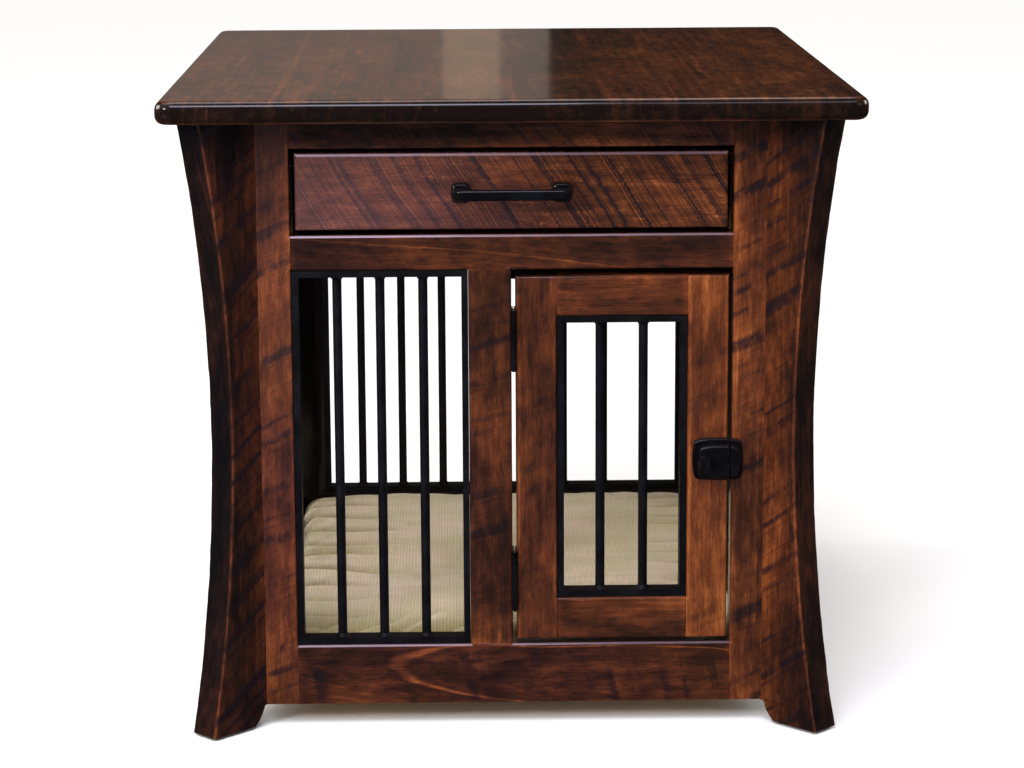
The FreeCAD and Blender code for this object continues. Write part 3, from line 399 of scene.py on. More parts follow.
def zinc(name):
    """Bright zinc plate with drawing lines along the part and a faint bloom."""
    m = Graph(name)
    p = m.coords.outputs["Object"]
    drawn = m.noise(m.vmath("MULTIPLY", p, (1500.0, 30.0, 1500.0)), 2.0, 0.6)
    bloom = m.noise(m.vmath("MULTIPLY", p, (60.0, 60.0, 60.0)), 4.0, 0.65)
    colour = m.mix(m.span(bloom, 0.35, 0.7), lin(196, 200, 204), lin(164, 166, 160))
    colour = m.mix(m.span(drawn, 0.62, 0.85), colour, lin(120, 122, 124))
    rough = m.total(m.math("MULTIPLY_ADD", drawn, 0.16, 0.22), m.math("MULTIPLY", bloom, 0.12))
    return m.shade(colour, rough, m.bump(drawn, 0.00003), Metallic=1.0, Specular_IOR_Level=0.5)


def plastic(name):
    m = Graph(name)
    p = m.coords.outputs["Object"]
    grain = m.cells(p, 2600.0)
    scuff = m.span(m.noise(m.vmath("MULTIPLY", p, (260.0, 260.0, 900.0)), 3.0, 0.7), 0.52, 0.72)
    colour = m.mix(scuff, lin(22, 22, 23), lin(58, 56, 53))
    return m.shade(colour, m.math("MULTIPLY_ADD", scuff, 0.22, 0.48), m.bump(grain, 0.00004), Specular_IOR_Level=0.45)


def ribbed_fabric(name, pitch=0.00335):
    """Ribbed upholstery weave.  The ribs run front to back over the top and on
    down the ends, and lie level along the two sides."""
    m = Graph(name)
    p = m.coords.outputs["Object"]
    x, y, z = m.split(p)
    nx = m.math("ABSOLUTE", m.split(m.coords.outputs["Normal"])[0])
    side = m.span(nx, 0.62, 0.78)
    wander = m.math("MULTIPLY_ADD", m.noise(m.vmath("MULTIPLY", p, (30.0, 9.0, 30.0)), 2.0), 0.0022, -0.0011)
    across = m.math("ADD", x, wander)
    down = m.math("ADD", z, wander)
    k = 2 * math.pi / pitch

    def rib(u):
        return m.math("MULTIPLY_ADD", m.math("COSINE", m.math("MULTIPLY", u, k)), 0.5, 0.5)

    ribs = m.math("ADD", m.math("MULTIPLY", rib(across), m.math("SUBTRACT", 1.0, side)),
                  m.math("MULTIPLY", rib(down), side))
    # yarns of the weft that wrap each rib, and slubs along it
    weft_u = m.math("ADD", y, m.math("MULTIPLY", z, 0.9))
    weft = m.math("MULTIPLY_ADD", m.math("COSINE", m.math("MULTIPLY", weft_u, 2 * math.pi / 0.00085)), 0.5, 0.5)
    slub = m.noise(m.vmath("MULTIPLY", p, (900.0, 130.0, 900.0)), 3.0, 0.65)
    fluff = m.noise(m.vmath("MULTIPLY", p, (2400.0, 2400.0, 2400.0)), 2.0, 0.6)
    shade_n = m.noise(m.vmath("MULTIPLY", p, (10.0, 13.0, 13.0)), 4.0, 0.62)
    bars = m.noise(m.vmath("MULTIPLY", p, (6.0, 95.0, 30.0)), 3.0, 0.6)
    light = m.mix(m.span(shade_n, 0.36, 0.66), lin(176, 166, 128), lin(198, 178, 158))
    dark = m.mix(m.span(shade_n, 0.36, 0.66), lin(160, 150, 108), lin(184, 165, 143))
    body = m.math("MULTIPLY_ADD", slub, 0.9, -0.45)
    # the grooves between ribs take the darker, more olive colour: partly the yarn's own tone, partly painted shade in
    # the grooves
    f = m.math("ADD", m.math("MULTIPLY", ribs, 0.85), body, clamp=True)
    colour = m.mix(f, dark, light)
    colour = m.mix(m.math("MULTIPLY", m.span(bars, 0.46, 0.74), 0.20), colour, lin(128, 116, 78))
    colour = m.mix(m.math("MULTIPLY", weft, 0.10), colour, lin(96, 86, 58))
    # painted shade: creases and the near sides of their ridges are mixed towards dark olive
    colour = m.mix(m.math("MULTIPLY", m.attr("crease_shade"), 0.85), colour, lin(112, 101, 54))
    # painted light and shade: the cloth is painted darker at the left end and lighter at the right
    end = m.split(p)[0]
    colour = m.mix(m.span(end, -0.10, -0.22), colour, m.mix(1.0, colour, (0.87, 0.87, 0.86, 1.0), "MULTIPLY"))
    colour = m.mix(m.span(end, 0.0, 0.08), colour, m.mix(1.0, colour, (1.18, 1.18, 1.20, 1.0), "MULTIPLY"))
    h = m.total(m.math("MULTIPLY", ribs, 1.0), m.math("MULTIPLY", weft, 0.16), m.math("MULTIPLY", slub, 0.35),
                m.math("MULTIPLY", fluff, 0.15))
    normal = m.bump(h, 0.00042)
    return m.shade(colour, m.math("MULTIPLY_ADD", fluff, 0.12, 0.82), normal, Specular_IOR_Level=0.25,
                   Sheen_Weight=0.35, Sheen_Roughness=0.5, Sheen_Tint=(0.95, 0.9, 0.8, 1.0))


# ------------------------------------------------------------ detailed geometry
def tidy(bm):
    bmesh.ops.remove_doubles(bm, verts=bm.verts[:], dist=2e-6)
    bmesh.ops.dissolve_degenerate(bm, edges=bm.edges[:], dist=1e-6)


def soften(obj, angle=38.0):
    me = obj.data
    for p in me.polygons:
        p.use_smooth = True
    bm = bmesh.new()
    bm.from_mesh(me)
    lim = math.radians(angle)
    for e in bm.edges:
        e.smooth = not (len(e.link_faces) != 2 or e.calc_face_angle(0.0) > lim)
    bm.to_mesh(me)
    bm.free()


def new_object(name, bm):
    me = bpy.data.meshes.new(name)
    bm.to_mesh(me)
    bm.free()
    o = bpy.data.objects.new(name, me)
    bpy.context.scene.collection.objects.link(o)
    return o


def slice_up(bm, axes, step):
    """Cuts every face along evenly spaced planes, so that the surface can be
    worked without changing its shape, and twice more close to each face, so
    that wear on an arris stays narrow."""
    for a, gap in zip(axes, step):
        if not gap:
            continue
        a = Vector(a).normalized()
        d = [v.co.dot(a) for v in bm.verts]
        lo, hi = min(d), max(d)
        count = int((hi - lo) / gap)
        cuts = [lo + (hi - lo) * k / count for k in range(1, count)] if count > 1 else []
        for k in (0.0016, 0.0030):
            if hi - lo > 0.012:
                cuts += [lo + k, hi - k]
        for at in sorted(cuts):
            bmesh.ops.bisect_plane(bm, geom=bm.verts[:] + bm.edges[:] + bm.faces[:],
                                   plane_co=a * at, plane_no=a, dist=4e-6)


def work_surface(obj, seed, wave=0.00022, nicks=0.00045, along=(0, 0, 1), given=False, kerfs=None):
    """Moves the skin inwards by tenths of a millimetre: planing waves on the
    faces, rubbed and nicked arrises, and the ridges that a saw leaves.  Also
    stores how near each point is to an arris, for the stain that rubs thin
    there, unless the mesh already says."""
    me = obj.data
    bm = bmesh.new()
    bm.from_mesh(me)
    bm.normal_update()
    sharp = set()
    for v in bm.verts:
        if len(v.link_faces) < 2:
            continue
        ns = [f.normal for f in v.link_faces]
        if min(ns[0].dot(q) for q in ns[1:]) < 0.985:
            sharp.add(v.index)
    tree = KDTree(max(1, len(sharp)))
    for v in bm.verts:
        if v.index in sharp:
            tree.insert(v.co, v.index)
    tree.balance()
    a = Vector(along)
    shift = Vector((seed * 7.13, seed * 3.7, seed * 5.9))
    edge = np.zeros(len(bm.verts), np.float32)
    moves = []
    for v in bm.verts:
        p = v.co
        q = p + a * (p.dot(a) * -0.6) + shift
        n = 0.5 + 0.5 * noise.noise(q * 26.0) + 0.22 * noise.noise(q * 75.0)
        push = wave * max(0.0, n)
        d = tree.find(p)[2] if sharp else 1.0
        edge[v.index] = math.exp(-((d / 0.0011) ** 2))
        if d < 0.0004:
            q2 = p + shift * 1.7
            k = noise.noise(q2 * 38.0) + 0.6 * noise.noise(q2 * 110.0)
            push += nicks * max(0.0, 0.35 + k)
        elif kerfs and abs(v.normal.y) > 0.7:
            crossing, depth = kerfs
            u = p.dot(Vector(crossing)) + 0.004 * noise.noise(q * 9.0)
            ridge = 0.5 + 0.5 * noise.noise(Vector((u * 260.0, seed, 0.4))) + 0.5 * noise.noise(Vector((u * 75.0, seed, 7.4)))
            push += depth * max(0.0, ridge) * min(1.0, d / 0.004)
        moves.append((v, v.normal.copy(), push))
    for v, nrm, push in moves:
        v.co -= nrm * push
    bm.to_mesh(me)
    bm.free()
    if not given:
        at = me.attributes.get("edge") or me.attributes.new("edge", "FLOAT", "POINT")
        at.data.foreach_set("value", edge)


def detailed(node, body, mat, axes, step, bevel=0.0007, seed=1.0, wave=0.00022, nicks=0.00045,
             along=(0, 0, 1), angle=38.0, kerfs=None):
    """A worked copy of a CAD board: eased arrises, sliced skin, surface relief."""
    bm = bmesh.new()
    bm.from_mesh(NODES[node].data)
    tidy(bm)
    bmesh.ops.dissolve_limit(bm, angle_limit=math.radians(0.2), verts=bm.verts[:], edges=bm.edges[:])
    if bevel:
        hard = [e for e in bm.edges if len(e.link_faces) == 2 and math.radians(40) < e.calc_face_angle(0.0) < math.radians(140)]
        bmesh.ops.bevel(bm, geom=hard, offset=bevel, offset_type="OFFSET", segments=2, profile=0.6,
                        affect="EDGES", clamp_overlap=True)
    slice_up(bm, axes, step)
    tidy(bm)
    o = new_object(node + "_wood", bm)
    work_surface(o, seed, wave, nicks, along=along, kerfs=kerfs)
    soften(o, angle)
    o.data.materials.clear()
    o.data.materials.append(mat)
    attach(o, body)
    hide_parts(node)
    return o


X, Y, Z = (1.0, 0.0, 0.0), (0.0, 1.0, 0.0), (0.0, 0.0, 1.0)
H = math.sqrt(0.5)


def middle(node):
    lo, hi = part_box(node)
    return (lo + hi) / 2


def board(node, body, g, f, n, seed, slot="stained_wood", step=(0.006, 0.0055, 0.0075), kerfs=None, **look):
    mat = wood(node, g, f, n, middle(node), seed, **look)
    return detailed(node, body, mat, (g, f, n), step, seed=seed, along=g, kerfs=kerfs)


# face frame: uprights, rails and the post between the openings.  On an upright
# the saw's marks rise to the right, so they cross (along 0.90, across -0.42).
UP = (0.90, -0.42)
board("front_stile_left", "case", Z, X, Y, 11.0, tone=0.53, saw=1.0, kerf=UP, fine=0.35, cover=0.02,
      pith=(0.06, 0.03), slope=0.02, line=0.35, bloom=0.9, veil=(0.20, -0.25, 0.04))
board("front_stile_right", "case", Z, X, Y, 23.0, tone=0.52, saw=1.0, kerf=UP, fine=0.35, cover=0.03,
      pith=(-0.07, 0.03), slope=0.02, line=0.4, bloom=0.3)
board("front_centre_post", "case", Z, X, Y, 37.0, tone=0.40, saw=0.7, kerf=(0.96, -0.27), fine=0.35, cover=0.03,
      pith=(0.015, 0.05), slope=0.05, line=0.45, bloom=0.5)
board("front_top_rail", "case", X, Z, Y, 41.0, tone=0.49, saw=0.7, kerf=(0.78, 0.62), fine=1.0, cover=0.05,
      pith=(0.02, 0.06), line=0.3, kerf_scale=1.3)
board("front_middle_rail", "case", X, Z, Y, 59.0, tone=0.40, saw=0.35, kerf=(0.75, 0.66), fine=0.25,
      pith=(0.052, 0.02), slope=0.03, tilt=0.10, line=0.5, ring=0.009, bold=((0.047, 0.0010, 0.20),), bloom=0.8, lip=0.45)
board("front_bottom_rail", "case", X, Z, Y, 67.0, tone=0.39, saw=0.65, kerf=(0.97, 0.22), fine=0.2,
      pith=(0.0021, 0.0446), slope=-0.096, tilt=0.12, line=0.25, ring=0.0052,
      bold=((0.045, 0.0013, 0.34), (0.0835, 0.0011, 0.24)), bloom=0.7, lip=0.25)
# painted shade: the door stop gets a much darker tone than the other boards, as it sits in the shade above the door
board("door_stop", "case", X, Z, Y, 89.0, tone=0.22, saw=0.2, fine=0.2, pith=(0.05, 0.02), line=0.3)
# door frame
board("door_hinge_stile", "door", Z, X, Y, 71.0, tone=0.44, saw=0.35, kerf=UP, fine=0.2,
      pith=(0.05, 0.03), line=0.3, bloom=0.3)
board("door_latch_stile", "door", Z, X, Y, 83.0, tone=0.64, saw=0.30, kerf=UP, fine=0.15,
      pith=(0.04, 0.035), line=0.25, bloom=0.2)
board("door_top_rail", "door", X, Z, Y, 97.0, tone=0.54, saw=0.2, fine=0.1, pith=(0.05, 0.02), line=0.4, bloom=0.2)
board("door_bottom_rail", "door", X, Z, Y, 101.0, tone=0.44, saw=0.2, fine=0.1, pith=(0.05, 0.02), line=0.35,
      bloom=0.2)
# back and side frames; the faces turned to the crate get painted shade, near black
for k, (node, g, f, n, inward) in enumerate([
        ("back_stile_left", Z, X, Y, (0, -1, 0)), ("back_stile_right", Z, X, Y, (0, -1, 0)),
        ("back_top_rail", X, Z, Y, (0, -1, 0)), ("back_bottom_rail", X, Z, Y, (0, -1, 0)),
        ("left_front_stile", Z, Y, X, (1, 0, 0)), ("left_rear_stile", Z, Y, X, (1, 0, 0)),
        ("left_top_rail", Y, Z, X, (1, 0, 0)), ("left_bottom_rail", Y, Z, X, (1, 0, 0)),
        ("right_front_stile", Z, Y, X, (-1, 0, 0)), ("right_rear_stile", Z, Y, X, (-1, 0, 0)),
        ("right_top_rail", Y, Z, X, (-1, 0, 0)), ("right_bottom_rail", Y, Z, X, (-1, 0, 0))]):
    up = g == Z
    board(node, "case", g, f, n, 110.0 + 7.3 * k, tone=0.49 + 0.02 * (k % 3), saw=0.8,
          kerf=UP if up else (0.95, 0.30), fine=0.35, cover=0.01,
          pith=(0.05, 0.03) if k % 2 else (0.01, 0.045), slope=0.03 if k % 2 else -0.07, line=0.5,
          bold=() if up else ((0.043, 0.0012, 0.26),), inside=inward, step=(0.008, 0.007, 0.008))
# drawer front: left rough, with the blade's marks right across it
board("drawer_front", "drawer", X, Z, Y, 131.0, slot="drawer_front_wood", tone=0.57, saw=1.1,
      kerf=(0.85, 0.52), fine=1.7, cover=0.13, under=0.0, scratch=0.30, veil=(-0.20, 0.10, 0.17), pith=(0.005, 0.05), slope=0.02, line=0.4, gloss=0.46, spread=0.7,
      coat=0.8, coat_rough=0.20, relief=1.2, kerf_scale=1.8, bloom=0.9, lip=0.55, step=(0.0022, 0.0022, 0.0075),
      kerfs=((0.85, 0.0, 0.52), 0.00030))
# table top: a glued-up panel, its boards running front to back
mat = wood("top_panel", Y, X, Z, middle("top_panel"), 151.0, tone=0.50, under=0.0, spread=0.7, saw=0.12,
           kerf=(0.995, 0.05), fine=0.30, pith=(0.03, 0.05), slope=0.05, line=0.7, ring=0.012, gloss=0.30,
           stops=TOP_STAIN, relief=0.4, coat=1.0, coat_rough=0.10, end=0.20, bloom=0.35, worn=0.0, low=0.30, mottle=1.2,
           stripes=((-0.219, 0.005, 0.17), (0.000, 0.004, 0.08), (0.151, 0.003, 0.10)),
           staves=([-0.33, -0.214, -0.118, 0.002, 0.083, 0.151, 0.24, 0.33], [0.02, 0.05, -0.01, -0.07, 0.03, 0.05, 0.03]))
detailed("top_panel", "case", mat, (Y, X, Z), (0.010, 0.010, 0.006), bevel=0.0, seed=151.0,
         wave=0.00016, nicks=0.00030, along=Y)


# ------------------------------------------------------------------------ legs
def leg(node, sx, sy, seed, **look):
    """A plank on edge across the corner: outer edge sawn to a hollow arc, inner
    end of the foot cut to a small curve.  Rings of points, foot to top."""
    thick = 0.033
    cx, cy = sx * (0.242 + thick * H / 2), sy * (0.325 - thick * H / 2)
    out = Vector((sx * H, sy * H, 0))
    side = Vector((-sy * H, sx * H, 0)) * (1 if sx * sy > 0 else 1)
    z0, z_step, z1 = 0.003, 0.022, 0.598
    inner = -0.022 * math.sqrt(2.0)

    def arc3(p, q, r):
        (ax, ay), (bx, by), (cx_, cy_) = p, q, r
        d = 2 * (ax * (by - cy_) + bx * (cy_ - ay) + cx_ * (ay - by))
        ux = ((ax * ax + ay * ay) * (by - cy_) + (bx * bx + by * by) * (cy_ - ay) + (cx_ * cx_ + cy_ * cy_) * (ay - by)) / d
        uy = ((ax * ax + ay * ay) * (cx_ - bx) + (bx * bx + by * by) * (ax - cx_) + (cx_ * cx_ + cy_ * cy_) * (bx - ax)) / d
        return ux, uy, math.hypot(ax - ux, ay - uy)

    ux, uz, ur = arc3((0.068, z0), (0.0365, 0.300), (0.069, z1))
    vx, vz, vr = arc3((0.0025, z_step), (0.0074, 0.011), (0.015, z0))

    def outer(z):
        return ux - math.sqrt(max(0.0, ur * ur - (z - uz) ** 2))

    def heel(z):
        s = math.sqrt(max(0.0, vr * vr - (z - vz) ** 2))
        return vx + s if abs(vx + s - 0.0074) < abs(vx - s - 0.0074) else vx - s

    heights = list(np.linspace(z0, z_step, 8)) + list(np.linspace(z_step, z1, 112))
    rr = 0.003
    bm = bmesh.new()
    rubbed = bm.verts.layers.float.new("edge")
    rows = []
    for k, z in enumerate(heights):
        so = outer(z)
        si = heel(z) if k < 8 else inner
        ring = []
        h = thick / 2
        # inner edge, first broad side, outer edge with rounded arrises, back
        worn = (0.05, 0.45, 1.0, 1.0, 0.45, 0.05)
        for t in np.linspace(-h, h, 7)[:-1]:
            ring.append((si, t, 0.0))
        for t in np.linspace(si, so - rr - 0.002, 20):
            ring.append((t, h, 0.0))
        for a, e in zip(np.linspace(0, math.pi / 2, 6), worn):
            ring.append((so - rr + rr * math.sin(a), h - rr + rr * math.cos(a), e))
        for t in np.linspace(h - rr - 0.002, -h + rr + 0.002, 8):
            ring.append((so, t, 0.0))
        for a, e in zip(np.linspace(0, math.pi / 2, 6), worn):
            ring.append((so - rr + rr * math.cos(a), -h + rr - rr * math.sin(a), e))
        for t in np.linspace(so - rr - 0.002, si, 20)[:-1]:
            ring.append((t, -h, 0.0))
        row = []
        for s, t, e in ring:
            v = bm.verts.new(Vector((cx, cy, z)) + out * s + side * t)
            v[rubbed] = e
            row.append(v)
        rows.append(row)
    n = len(rows[0])
    for a, b in zip(rows[:-1], rows[1:]):
        for i in range(n):
            j = (i + 1) % n
            bm.faces.new((a[i], a[j], b[j], b[i]))
    bm.faces.new(rows[0][::-1])
    bm.faces.new(rows[-1])
    bmesh.ops.recalc_face_normals(bm, faces=bm.faces[:])
    tidy(bm)
    hard = [e for e in bm.edges if len(e.link_faces) == 2 and math.radians(60) < e.calc_face_angle(0.0) < math.radians(120)
            and (e.verts[0].co.z < 0.0225 or e.verts[1].co.z < 0.0225) and abs(e.verts[0].co.z - e.verts[1].co.z) < 1e-5]
    bmesh.ops.bevel(bm, geom=hard, offset=0.0009, offset_type="OFFSET", segments=2, profile=0.6,
                    affect="EDGES", clamp_overlap=True)
    o = new_object(node + "_wood", bm)
    work_surface(o, seed, 0.00028, 0.00060, along=Z, given=True)
    soften(o, 38)
    mat = wood(node, Z, tuple(out), tuple(side), (cx, cy, 0.3), seed, rim=tuple(out), worn=0.24, inner_shade_at=-0.013, **look)
    o.data.materials.append(mat)
    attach(o, "case")
    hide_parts(node)
    return o


# the marks rise to the right seen from the front: across points out of the case,
# so their slope turns over from one side to the other
leg("leg_front_left", -1, -1, 211.0, tone=0.46, saw=1.0, deepen=(-0.006, 0.030, 0.20), kerf=(0.84, 0.54), fine=0.4, pith=(0.02, 0.05),
    slope=0.03, line=0.3, spread=1.15, cover=0.10, bloom=0.3, kerf_scale=1.2)
leg("leg_front_right", 1, -1, 223.0, tone=0.55, saw=1.0, deepen=(0.006, 0.036, 0.16), kerf=(0.84, -0.54), fine=0.4, pith=(0.02, 0.05),
    slope=0.03, line=0.3, spread=1.1, cover=0.06, bloom=0.2, kerf_scale=1.1)
leg("leg_rear_left", -1, 1, 239.0, tone=0.50, saw=1.0, kerf=(0.84, 0.54), fine=0.4, pith=(0.02, 0.05),
    slope=0.03, line=0.3, cover=0.05, bloom=0.3)
leg("leg_rear_right", 1, 1, 251.0, tone=0.50, saw=1.0, kerf=(0.84, -0.54), fine=0.4, pith=(0.02, 0.05),
    slope=0.03, line=0.3, cover=0.05, bloom=0.3)

# ------------------------------------------------------- inner wood, metal, feet
for k, (node, g, f, n) in enumerate([
        ("crate_floor", Y, X, Z), ("crate_ceiling", Y, X, Z), ("floor_cleats", Y, X, Z), ("runner_blocks", Y, X, Z),
        ("drawer_side_left", Y, Z, X), ("drawer_side_right", Y, Z, X), ("drawer_inner_front", X, Z, Y),
        ("drawer_back", X, Z, Y), ("drawer_bottom", X, Y, Z)]):
    o = NODES[node]
    o.data.materials.clear()
    o.data.materials.append(wood(node, g, f, n, middle(node), 301.0 + 5.1 * k, tone=0.52 + 0.03 * (k % 3), spread=0.5,
                                 saw=0.0, fine=0.0, pith=(0.02, 0.04), slope=0.06, line=0.8, ring=0.007,
                                 gloss=0.42, stops=PALE, relief=0.6, coat=0.1, streaks=0.2, under=0.0, bloom=0.0))
    bev = o.modifiers.new("ease", "BEVEL")
    bev.width = 0.0007
    bev.segments = 2
    bev.limit_method = "ANGLE"
    bev.angle_limit = math.radians(40)

GRILLE = black_metal("grille_black", lin(4, 4, 8), lin(11, 12, 20), 0.50)
HARDWARE = black_metal("hardware_black", lin(4, 4, 7), lin(11, 12, 17), 0.30, peel=0.00001, peel_scale=1500.0, coat=0.45)
ZINC = zinc("zinc_steel")
for node in ("front_grille", "door_grille", "back_grille", "left_grille", "right_grille"):
    o = NODES[node]
    o.data.materials.clear()
    o.data.materials.append(GRILLE)
for node in ("drawer_pull", "latch_case", "latch_knob", "latch_bolt", "latch_strike", "hinge_frame_leaves",
             "hinge_door_leaves", "hinge_pins", "hinge_screws_frame", "hinge_screws_door"):
    o = NODES[node]
    o.data.materials.clear()
    o.data.materials.append(HARDWARE)
# the knob's spindle is a shade slimmer, so it turns freely in the latch's case
lo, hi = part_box("latch_knob")
bm = bmesh.new()
bm.from_mesh(NODES["latch_knob"].data)
tidy(bm)
for v in bm.verts:
    dx, dz = v.co.x - (lo.x + hi.x) / 2, v.co.z - (lo.z + hi.z) / 2
    if math.hypot(dx, dz) < 0.0031 and v.co.y > hi.y - 0.0116:
        v.co.x -= 0.04 * dx
        v.co.z -= 0.04 * dz
o = new_object("latch_knob_turned", bm)
soften(o, 35.0)
o.data.materials.clear()
o.data.materials.append(HARDWARE)
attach(o, "latch_knob")
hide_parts("latch_knob")
for node in ("slide_cabinet_members", "slide_middle_members", "slide_drawer_members", "top_angles", "pull_screws"):
    o = NODES[node]
    o.data.materials.clear()
    o.data.materials.append(ZINC)
o = NODES["foot_glides"]
o.data.materials.clear()
o.data.materials.append(plastic("glide_plastic"))


# --------------------------------------------------------------------- cushion
def make_cushion():
    lo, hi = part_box("cushion")
    half_x, half_y = (hi.x - lo.x) / 2, (hi.y - lo.y) / 2
    cx, cy = (lo.x + hi.x) / 2, (lo.y + hi.y) / 2
    z0, z1 = lo.z, hi.z
    bm = bmesh.new()
    # a boxed pad, smaller than its space because it swells: rings out to the
    # edge of the top, over it, down the side and back in underneath
    corner = 0.022
    inset = 0.0015
    hx, hy = half_x - inset, half_y - inset
    per = 168

    def rim(scale_in, z):
        """Points round a rounded rectangle that is drawn in by scale_in."""
        ax, ay = hx - scale_in, hy - scale_in
        r = max(0.004, corner - scale_in * 0.6)
        pts = []
        straight_x, straight_y = 2 * (ax - r), 2 * (ay - r)
        arc = math.pi * r / 2
        total = 2 * straight_x + 2 * straight_y + 4 * arc
        for k in range(per):
            d = total * k / per
            for seg, length in (("b", straight_x), ("br", arc), ("r", straight_y), ("tr", arc), ("t", straight_x),
                                ("tl", arc), ("l", straight_y), ("bl", arc)):
                if d <= length:
                    break
                d -= length
            u = d / length
            if seg == "b":
                q = (-ax + r + d, -ay)
            elif seg == "br":
                a = -math.pi / 2 + u * math.pi / 2
                q = (ax - r + r * math.cos(a), -ay + r + r * math.sin(a))
            elif seg == "r":
                q = (ax, -ay + r + d)
            elif seg == "tr":
                a = u * math.pi / 2
                q = (ax - r + r * math.cos(a), ay - r + r * math.sin(a))
            elif seg == "t":
                q = (ax - r - d, ay)
            elif seg == "tl":
                a = math.pi / 2 + u * math.pi / 2
                q = (-ax + r + r * math.cos(a), ay - r + r * math.sin(a))
            elif seg == "l":
                q = (-ax, ay - r - d)
            else:
                a = math.pi + u * math.pi / 2
                q = (-ax + r + r * math.cos(a), -ay + r + r * math.sin(a))
            pts.append((cx + q[0], cy + q[1], z))
        return pts

    tall = z1 - z0
    profile = []          # (drawn in, height)
    high = z1 - 0.0100
    for s in (0.17, 0.14, 0.11, 0.08, 0.055, 0.035, 0.020, 0.012):
        profile.append((s, high))
    for a in (75, 55, 35, 15):
        profile.append((0.010 * (1 - math.cos(math.radians(a))), high - 0.010 * (1 - math.sin(math.radians(a)))))
    for a in (-15, -35, -55, -75):
        profile.append((0.010 * (1 - math.cos(math.radians(a))), z0 + 0.0008 + 0.010 * (1 + math.sin(math.radians(a)))))
    for s in (0.02, 0.05, 0.10, 0.17):
        profile.append((s, z0 + 0.0008))
    rows = [[bm.verts.new(p) for p in rim(s, z)] for s, z in profile]
    for a, b in zip(rows[:-1], rows[1:]):
        for i in range(per):
            j = (i + 1) % per
            bm.faces.new((a[i], b[i], b[j], a[j]))
    bm.faces.new(rows[0])
    bm.faces.new(rows[-1][::-1])
    bmesh.ops.triangulate(bm, faces=[f for f in bm.faces if len(f.verts) > 4])
    bmesh.ops.recalc_face_normals(bm, faces=bm.faces[:])
    o = new_object("cushion_cover", bm)
    rest_lo, rest_hi = lo.copy(), hi.copy()

    re = o.modifiers.new("even", "REMESH")
    re.mode = "VOXEL"
    re.voxel_size = 0.0048
    re.use_smooth_shade = True
    dg = bpy.context.evaluated_depsgraph_get()
    me = bpy.data.meshes.new_from_object(o.evaluated_get(dg))
    o.modifiers.clear()
    o.data = me
    before = np.array([v.co for v in me.vertices], float)

    c = o.modifiers.new("cloth", "CLOTH")
    st = c.settings
    st.quality = 5
    st.mass = 0.25
    st.use_pressure = True
    st.uniform_pressure_force = 3.0
    st.effector_weights.gravity = 0.0
    st.tension_stiffness = 12
    st.compression_stiffness = 12
    st.shear_stiffness = 6
    st.bending_stiffness = 0.6
    st.shrink_min = -0.02
    c.collision_settings.use_collision = False
    c.collision_settings.use_self_collision = False
    c.point_cache.frame_start = 1
    c.point_cache.frame_end = 20
    scene = bpy.context.scene
    for fr in range(1, 21):
        scene.frame_set(fr)
    dg = bpy.context.evaluated_depsgraph_get()
    me2 = bpy.data.meshes.new_from_object(o.evaluated_get(dg))
    after = np.array([v.co for v in me2.vertices], float)
    o.modifiers.clear()
    scene.frame_set(1)
    move = after - before
    size = np.linalg.norm(move, axis=1, keepdims=True)
    cap = 0.008
    move *= np.minimum(1.0, cap / np.maximum(size, 1e-9))
    after = before + move
    me.vertices.foreach_set("co", after.ravel())
    me.update()

    sub = o.modifiers.new("fine", "SUBSURF")
    sub.levels = 1
    sub.render_levels = 1
    dg = bpy.context.evaluated_depsgraph_get()
    me3 = bpy.data.meshes.new_from_object(o.evaluated_get(dg))
    o.modifiers.clear()
    o.data = me3
    co = np.array([v.co for v in me3.vertices], float)
    nrm = np.array([v.normal for v in me3.vertices], float)

    # gathers where the top is sewn to its band: creases that run in from the
    # edge, each with a fuller ridge on its near side
    px, py = co[:, 0] - cx, co[:, 1] - cy
    top = np.clip((co[:, 2] - (z0 + tall * 0.40)) / (tall * 0.3), 0, 1)
    rng = np.random.default_rng(7)
    creases = []
    left_y = (0.258, 0.214, 0.168, 0.105, 0.048, 0.006, -0.052, -0.119, -0.166, -0.222, -0.262)
    left_long = (0.06, 0.095, 0.105, 0.13, 0.12, 0.11, 0.12, 0.105, 0.09, 0.08, 0.06)
    left_turn = (0.1, 0.07, -0.05, -0.03, -0.06, -0.07, -0.16, -0.05, -0.12, -0.10, -0.1)
    left_deep = (2.0, 5.6, 4.6, 5.6, 4.6, 5.4, 6.2, 4.8, 3.8, 3.4, 2.6)
    for y0, long, turn, deep in zip(left_y, left_long, left_turn, left_deep):
        creases.append((-half_x, y0 - cy, 1.0, turn, long, deep * 0.001, 0.0058))
    y0 = -0.262
    while y0 < 0.27:
        creases.append((half_x, y0, -1.0, float(rng.uniform(-0.15, 0.15)), float(rng.uniform(0.06, 0.11)),
                        float(rng.uniform(0.0020, 0.0038)), 0.0052))
        y0 += float(rng.uniform(0.042, 0.064))
    for side_y, start, lean in ((-half_y, -0.212, 0.85), (half_y, -0.20, 0.3)):
        x0 = start
        while x0 < 0.21:
            creases.append((x0, side_y, lean * float(rng.uniform(0.7, 1.2)), -math.copysign(1.0, side_y),
                            float(rng.uniform(0.07, 0.11)),
                            float(rng.uniform(0.0016, 0.0026)) * (0.25 if side_y > 0 else 2.3), 0.0095 if side_y > 0 else 0.0075))
            x0 += float(rng.uniform(0.036, 0.050))
    push = np.zeros(len(co))
    crease_shade = np.zeros(len(co))
